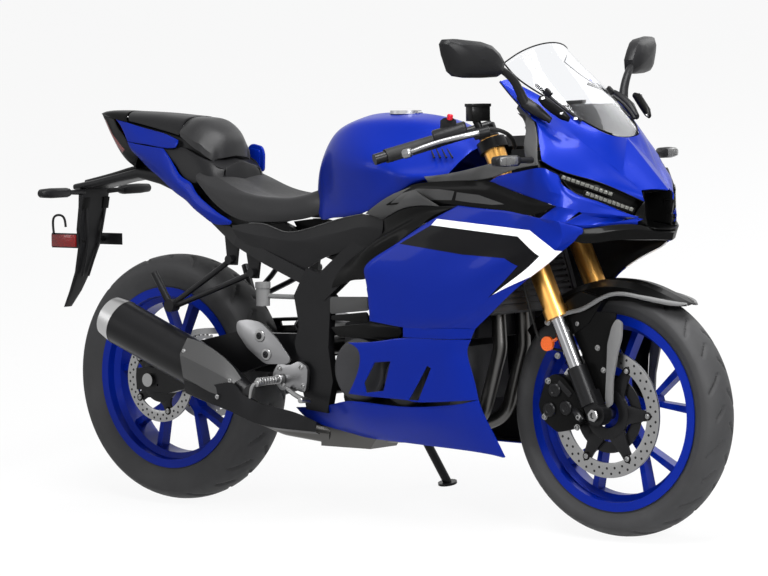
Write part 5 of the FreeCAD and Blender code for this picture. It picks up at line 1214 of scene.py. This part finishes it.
# Share of the rim's size, distance ahead of it
MIRROR_RINGS = [(0.9, -7), (0.93, -12), (0.985, -12), (1, -6), (0.99, 4), (0.93, 13), (0.7, 24), (0.35, 29),
                (0.01, 30)]


def mirrors():
    housing = Piece("mirror_housings", "black_plastic", more=("chrome_tube",))
    middle = Vector((1204, 325, 1114))

    def ring(share, ahead):
        spots = [middle + (Vector(spot) - middle) * share + Vector((ahead, 0, 0)) for spot in MIRROR_RIM]
        return [(x, -w, z) for x, w, z in spots]

    housing.quads([ring(share, ahead) for share, ahead in MIRROR_RINGS], closed=True)
    glass = ring(*MIRROR_RINGS[0])
    housing.quads([glass, [(1197, -325, 1114)] * len(glass)], finish=1, closed=True)
    housing.weld(0.2)
    stalk = [(1216, -296, 1104), (1226, -262, 1094), (1238, -226, 1070), (1244, -204, 1038),
             (1250, -192, 1012)]
    housing.tube(stalk, (8, 8, 9.5, 10.5, 12), 14, 5)
    foot = [((1226, -188, 1030), (0, 6, 4), (4, -2, 5)), ((1248, -190, 1014), (0, 13, 7), (7, -4, 9)),
            ((1276, -184, 996), (0, 12, 7), (7, -4, 9)), ((1306, -170, 972), (0, 5, 4), (4, -2, 5))]
    housing.loft(foot, 18)
    housing.mirror()
    housing.done(bevel=1.0, angle=30, replaces=("mirrors",))
    clip = Piece("mirror_clips", "gloss_black", more=("steel",))
    clip.loft([((1286, -186, 1024), (0, 5, 3), (3, -2, 5)), ((1300, -184, 1016), (0, 9, 5), (5, -3, 10)),
               ((1318, -176, 1000), (0, 9, 5), (5, -3, 10)), ((1338, -166, 984), (0, 8, 5), (5, -3, 9)),
               ((1350, -158, 974), (0, 4, 3), (3, -2, 4))], 14)
    for spot in ((1300, -192, 1024), (1338, -172, 990), (1354, -140, 976)):
        clip.bolt(spot, (0.4, -0.6, 0.7), 4, 2.5, 1)
    clip.mirror()
    clip.done(bevel=0.8)


# Along, height, half width and thickness of the plate holder's arm
HOLDER = [(-300, 786, 54, 20), (-306, 744, 49, 22), (-318, 684, 46, 20), (-322, 640, 37, 18),
          (-346, 572, 27, 14), (-374, 520, 21, 11), (-403, 478, 13, 7)]
PLATE_ARM = [((60, 0, 800), (0, 66, 0), (4, 0, 24)), ((-20, 0, 822), (0, 60, 0), (2, 0, 20)),
             ((-100, 0, 832), (0, 52, 0), (0, 0, 15)), ((-180, 0, 818), (0, 48, 0), (-2, 0, 12)),
             ((-260, 0, 802), (0, 52, 0), (0, 0, 12)), ((-322, 0, 794), (0, 56, 0), (0, 0, 9))]
UPPER_RIB = [(-30, 30, 842), (-110, 26, 846), (-190, 24, 830), (-300, 30, 806)]
LOWER_RIB = [(-296, 34, 770), (-300, 30, 700), (-310, 20, 640), (-338, 12, 560)]
PLATE_LOOP = [(-388, -62, 672), (-389, -63, 706), (-378, -64, 719), (-354, -62, 717), (-347, -60, 690)]


def rear_fender():
    arm = Piece("plate_bracket", "black_plastic", more=("red_lens", "gloss_black"))
    arm.loft(PLATE_ARM, 32, power=4)
    for side in (RIGHT, LEFT):
        arm.tube([(x, side * w, z) for x, w, z in UPPER_RIB], 6, 10, 5)
    arm.loft([((x, 0, z), (0, w, 0), (t * 0.5, 0, t * 0.1)) for x, z, w, t in HOLDER], 28, power=4)
    for side in (RIGHT, LEFT):
        arm.tube([(x, side * w, z) for x, w, z in LOWER_RIB], 3.2, 8, 4)
        arm.block((-300, side * 36, 752), (16, 22, 30), Matrix.Rotation(0.2, 4, "Y"), 2)
    arm.tube(PLATE_LOOP, 3.2, 8, 5)
    arm.block((-352, -58, 655), (92, 4, 38))
    arm.block((-352, -62.5, 655), (84, 6, 31), None, 1)
    arm.block((-322, 62, 655), (118, 4, 30))
    arm.tube([(-330, -60, 655), (-330, 60, 655)], 8, 10, 2)
    arm.bolt((-280, -64, 655), OUT, 4, 3, 2)
    arm.done(bevel=1.6, angle=35, replaces=("rear_fender",))
    cap = Piece("tail_left_panel", "blue_plastic")
    cap.plate(rounded([(150, 896), (164, 905), (196, 898), (203, 880), (201, 834), (160, 832)], 9), 92, 101)
    cap.plate(rounded([(160, 894), (192, 889), (192, 842), (164, 840)], 7), 90, 94)
    cap.done(bevel=2.0)


HEEL = [(336, 478), (372, 483), (418, 476), (469, 436), (509, 392), (501, 379), (427, 375), (372, 410),
        (335, 452)]
HANGER = [(445, 349), (468, 382), (500, 374), (534, 388), (560, 372), (558, 340), (551, 309), (512, 318),
          (471, 312)]
PEDAL = [(500, 176, 320), (548, 184, 300), (592, 200, 296), (604, 226, 300)]


def rearsets():
    plates = Piece("heel_plates", "brushed", more=("steel", "black_plastic"))
    plates.plate(rounded(HEEL, 14), -171, -166)
    for x, z in ((412, 444), (432, 399)):
        plates.lathe([(0, 15), (2.5, 15), (4, 13), (4, 0)], (x, -171, z), OUT, 28, 1)
        plates.bolt((x, -175, z), OUT, 7, 3, 2)
    plates.plate(rounded(HANGER, 12), -168, -158)
    plates.rod((470, -156, 392), (440, -156, 440), 7, 14, 1)
    for x, z in ((470, 366), (540, 372), (545, 326), (482, 326)):
        plates.bolt((x, -168, z), OUT, 6, 4, 1)
    plates.rod((478, -168, 341), (478, -186, 341), 13, 24, 2, 1)
    plates.rod((478, -184, 341), (470, -256, 336), 8.5, 20, 2, 1)
    for k in range(7):
        plates.rod((477 - k, -194 - 8.4 * k, 340), (476.5 - k, -198 - 8.4 * k, 340), 10.2, 20, 0.6, 1)
    plates.tube([(466, -256, 336), (460, -260, 326), (452, -258, 300)], (4, 4, 3), 10, 5, 1)
    plates.mirror()
    for side, raised in ((RIGHT, 0), (LEFT, 44)):
        plates.tube([(x, side * w, z + raised) for x, w, z in PEDAL], (6, 6, 5, 5), 12, 6, 1)
        plates.rod((604, side * 222, 300 + raised), (604, side * 250, 301 + raised), 7, 16, 1.5, 1)
    plates.done(bevel=0.9, angle=35, replaces=("rearsets",))


SHIELD = [[(222, 226, 436), (276, 224, 423), (349, 214, 379), (380, 206, 341)],
          [(214, 246, 396), (279, 246, 374), (340, 236, 348), (372, 226, 330)],
          [(226, 249, 340), (280, 244, 318), (330, 236, 302), (366, 222, 316)]]
PIPE_COVER = [
    [(226, 246, 332), (300, 242, 322), (370, 228, 330), (399, 216, 300), (530, 200, 268), (604, 190, 244)],
    [(222, 236, 300), (300, 238, 280), (360, 230, 262), (437, 218, 234), (520, 206, 224), (602, 192, 220)],
    [(230, 190, 280), (300, 190, 262), (360, 186, 246), (437, 180, 222), (520, 176, 214), (600, 172, 212)],
]


def exhaust():
    shield = Piece("heat_shield", "smoke", more=("steel",))
    shield.patch(SHIELD, (0, -1, 0.3), along=6, across=5, sharp_rows=(1,))
    for spot in ((224, -241, 404), (362, -228, 336)):
        shield.bolt(spot, (0, -1, 0.1), 5, 3, 1)
    shield.done(thick=2, bevel=0.8, angle=20)
    cover = Piece("pipe_cover", "black_plastic", more=("steel",))
    cover.patch(PIPE_COVER, (0, -1, -0.2), along=6, across=5, sharp_rows=(1,))
    cover.bolt((330, -240, 296), OUT, 5, 3, 1)
    cover.done(thick=2.2, bevel=1.0, angle=20)


FENDER_STRIP = [(1255, 98, 506), (1292, 96, 525), (1328, 94, 534), (1363, 90, 551), (1397, 84, 568),
                (1433, 76, 573), (1474, 68, 567), (1507, 60, 561), (1548, 44, 553), (1574, 18, 549)]
BLADE = [(1425, 516), (1440, 508), (1439, 476), (1427, 438), (1413, 376), (1410, 318), (1395, 307),
         (1391, 333), (1396, 408), (1399, 458), (1412, 499)]
STAY = [(1290, 530), (1420, 530), (1412, 480), (1397, 420), (1393, 345), (1381, 316), (1360, 340),
        (1335, 400), (1286, 500)]


def front_fender_trim():
    trim = Piece("fender_trim", "grey_plastic", "steering")
    trim.tube([on_side(spot) for spot in FENDER_STRIP], (3, 5, 5.5, 5.5, 5, 5, 5, 6, 6, 4), 10, 6)
    trim.plate(rounded(BLADE, 6), -88, -81)
    trim.mirror()
    trim.done(bevel=2.4, angle=35)
    stay = Piece("fender_stays", "gloss_black", "steering", more=("steel",))
    stay.plate(rounded(STAY, 8), -80, -76)
    for x, z in ((1366, 446), (1382, 395), (1310, 500)):
        stay.bolt((x, -80, z), OUT, 5.5, 4, 1)
    stay.mirror()
    stay.done(bevel=0.8, angle=35)


def controls():
    """Lever, switch housing, reservoir and hose at each grip."""
    more = ("brushed", "red_switch", "gloss_black", "rubber")
    kit = Piece("hand_controls", "black_plastic", "steering", more)
    lever = [(1136, -222, 944), (1118, -250, 938), (1077, -290, 926), (1041, -326, 910), (1019, -340, 900)]
    kit.tube(lever, (8, 7, 5.5, 5, 5), 12, 6, 1)
    kit.rod((1008, -343, 897), (1030, -337, 903), 11, 24, 4, 1)
    pot = [((1066, -238, 940), (12, 4, 0), (0, 0, 16)), ((1064, -242, 950), (20, 7, 0), (0, 0, 4)),
           ((1062, -240, 972), (19, 6, 0), (0, 0, 4)), ((1062, -240, 978), (12, 4, 0), (0, 0, 2))]
    kit.loft(pot, 20, power=3.5)
    kit.rod((1032, -258, 930), (1092, -208, 952), 21, 26, 3)
    kit.rod((1066, -240, 974), (1068, -240, 988), 7, 16, 2, 2)
    kit.rod((1124, -224, 940), (1148, -196, 948), 13, 20, 2)
    kit.block((1112, -192, 988), (34, 46, 34), Matrix.Rotation(-0.45, 4, "Z"), 3)
    kit.block((1112, -192, 1008), (38, 50, 7), Matrix.Rotation(-0.45, 4, "Z"), 3)
    kit.rod((1108, -196, 975), (1118, -190, 950), 9, 14, 1)
    kit.tube([(1118, -188, 952), (1144, -160, 950), (1164, -132, 930), (1158, -112, 896)], 5, 10, 6, 4)
    kit.mirror()
    kit.done(bevel=1.6, angle=35, replaces=("controls",))


CALIPER = [(1235, 369), (1258, 384), (1284, 378), (1315, 347), (1342, 312), (1344, 278), (1308, 256),
           (1267, 247), (1228, 272), (1212, 309)]

# Body, axle's place along the machine and height, bolts that hold the disc
WHEELS = {"front": ("front_wheel", WHEELBASE, FRONT_TYRE_R, 6), "rear": ("rear_wheel", 0, REAR_TYRE_R, 5)}

# Inner face's distance from the middle, outer and inner radius of the ring
DISCS = {"front": (63, 149, 114), "rear": (83, 110, 82)}

# Two circles of dark dots that paint the shade of the drilled holes, which are not cut: share of the ring's
# breadth, and start in steps
HOLE_SHADE_DOTS = [(0.36, 0.0), (0.72, 0.5)]


def around(count, radius, start=0.0):
    """Steps round a circle as (x, z) offsets from its centre."""
    angles = [math.tau * (k + start) / count for k in range(count)]
    return [(radius * math.cos(a), radius * math.sin(a)) for a in angles]


def disc_bolts():
    for end, radius, w in (("front", 117, 66), ("rear", 85, 86)):
        body, x0, z0, count = WHEELS[end]
        heads = Piece(end + "_disc_bolts", "steel", body, more=("gloss_black",))
        for x, z in around(count, radius):
            heads.lathe([(0, 10), (2.5, 10), (4, 8.5), (4, 0)], (x0 + x, -w, z0 + z), OUT, 20, 1)
            heads.bolt((x0 + x, -w - 3.5, z0 + z), OUT, 5, 3)
        heads.done(bevel=0.4, angle=35)


def brake_discs():
    """Rings with dark dots painted as the shade of drilled holes, on carriers with one arm at each bolt."""
    for end, (w, outer, inner) in DISCS.items():
        body, x0, z0, bolts = WHEELS[end]
        hub = (x0, -w, z0)
        disc = Piece(end + "_brake_ring", "steel", body, more=("black_metal",))
        disc.lathe([(0, inner), (5, inner), (5, outer), (0, outer), (0, inner)], hub, OUT, 96)
        lanes = [around(bolts * 6, inner + (outer - inner) * share, start) for share, start in HOLE_SHADE_DOTS]
        # Each hole is a thin dark dot on the ring's face: painted shade, not an opening
        for x, z in (spot for pair in zip(*lanes) for spot in pair):
            disc.rod((x0 + x, -w - 5.15, z0 + z), (x0 + x, -w - 4.5, z0 + z), 3.2, 10, 0, 1)
        disc.lathe([(-4, 34), (4, 34), (4, 60), (-4, 60), (-4, 34)], hub, OUT, 48, 1)
        if end == "front":
            disc.lathe([(-8, 66), (-4, 66), (-4, 92), (-8, 92), (-8, 66)], hub, OUT, 60, 1)
        arm = [(50, -24), (inner - 14, -13), (inner + 8, -11), (inner + 8, 11), (inner - 14, 13), (50, 24)]
        for c, s in around(bolts, 1):
            disc.plate([(x0 + r * c - t * s, z0 + r * s + t * c) for r, t in arm], -w - 3.5, -w + 3, 1)
        disc.done(bevel=0.5, angle=35, replaces=(end + "_disc",))


def caliper():
    body = Piece("caliper_body", "gloss_black", "steering", more=("black_metal", "steel"))
    body.plate(rounded(CALIPER, 9), -106, -80)
    for x, z in ((1262, 346), (1246, 300), (1294, 306)):
        body.lathe([(0, 17), (4, 17), (7, 14), (7, 9), (5, 7), (5, 0)], (x, -106, z), OUT, 28, 1)
    body.block((1290, -95, 350), (46, 28, 14), Matrix.Rotation(0.7, 4, "Y"), 1)
    body.tube([(1312, -100, 300), (1332, -112, 292), (1344, -112, 280)], (9, 9, 8), 12, 3, 1)
    for x, z, w in ((1338, 287, 118), (1326, 262, 108), (1242, 366, 106), (1231, 282, 106)):
        body.bolt((x, -w, z), OUT, 6, 5, 2)
    body.done(bevel=2.4, angle=35, replaces=("front_caliper",))


def duct_and_fork_bolts():
    duct = Piece("radiator_duct", "black_plastic")
    duct.block((1036, 0, 490), (16, 220, 66))
    duct.done(bevel=3)
    feet = Piece("fork_bolts", "steel", "steering")
    for x, z, w in ((1247, 503, 112), (1272, 426, 108)):
        feet.bolt((x, -w, z), OUT, 6, 5)
    nut = [(0, 15), (3, 15), (5, 13), (5, 8), (-3, 7), (-3, 0)]
    feet.lathe(nut, (WHEELBASE, -119, FRONT_TYRE_R), OUT, 6)
    feet.done(bevel=0.5, angle=35)


# Half width, radius and half width at the bead, and the depth that sets the crown's fall
TYRES = {"front": (55, 218, 39, 60), "rear": (70, 218, 52, 66)}
PITCHES, PITCH_STEPS, PROFILE_STEPS = 24, 30, 14

# The groove: depth, half width in pitches, slant in pitches from the middle to the shoulder
GROOVE_DEPTH, GROOVE_HALF, GROOVE_SLANT = 4.5, 0.085, 0.9

# Where grooves start, fade and end, and where every other one stops, in shares of the half width
GROOVE_FROM, GROOVE_FADE, GROOVE_TO, SHORT_TO = 0.16, 0.06, 0.84, 0.62


def tyre_profile(reach, half, bead, bead_w, arc):
    """(w, radius) from bead to bead, across the crown."""
    crown = reach - 1.8
    side = [(-bead_w, bead), (-bead_w - 2, bead + 15), (-half * 0.93, bead + 32),
            (-half + 1, reach - arc * 0.62)]
    profile = list(side)
    for k in range(1 - PROFILE_STEPS, PROFILE_STEPS):
        w = (half - 1.5) * math.sin(math.pi / 2 * k / PROFILE_STEPS * 0.985)
        drop = (1 - math.sqrt(max(0, 1 - (w / half) ** 2))) * arc * 0.52
        profile.append((w, crown - drop))
    return profile + [(-w, r) for w, r in reversed(side)]


def groove(turn, w, half):
    """Depth of the tread's groove at a number of pitches round and a distance from the middle."""
    level = abs(w) / half
    if not GROOVE_FROM < level < GROOVE_TO or (int(turn) % 2 and level > SHORT_TO):
        return 0.0
    phase = (turn + (0 if w < 0 else 0.5) + GROOVE_SLANT * level) % 1.0
    reach_in = min(1, (level - GROOVE_FROM) / GROOVE_FADE, (GROOVE_TO - level) / GROOVE_FADE)
    return GROOVE_DEPTH * reach_in * max(0, 1 - (abs(phase - 0.5) / GROOVE_HALF) ** 4)


def tyre_tread(end):
    """A tyre with slanting grooves, from bead to bead."""
    half, bead, bead_w, arc = TYRES[end]
    body, x0, reach, _ = WHEELS[end]
    tyre = Piece(end + "_tyre_skin", "tyre_rubber", body)
    grid = []
    for w, r in tyre_profile(reach, half, bead, bead_w, arc):
        ring = []
        for k in range(PITCHES * PITCH_STEPS):
            a = math.tau * k / (PITCHES * PITCH_STEPS)
            depth = groove(k / PITCH_STEPS, w, half) if r > bead + 34 else 0.0
            ring.append((x0 + (r - depth) * math.cos(a), w, reach + (r - depth) * math.sin(a)))
        grid.append(ring)
    tyre.quads(grid, closed=True)
    tyre.done(angle=40, replaces=(end + "_tyre",))


add_camera()
add_studio()
dress_nodes()
windscreen()
lamps()
nose_jaw()
cockpit_panels()
signals()
mirrors()
rear_fender()
rearsets()
exhaust()
front_fender_trim()
controls()
disc_bolts()
brake_discs()
caliper()
duct_and_fork_bolts()
tyre_tread("front")
tyre_tread("rear")
nose_cowl()
side_fairings()
belly_pan()
wedge_panels()
fuel_tank()
seats()
tail_cowl()
tail_end()
side_covers()
middle_trim()
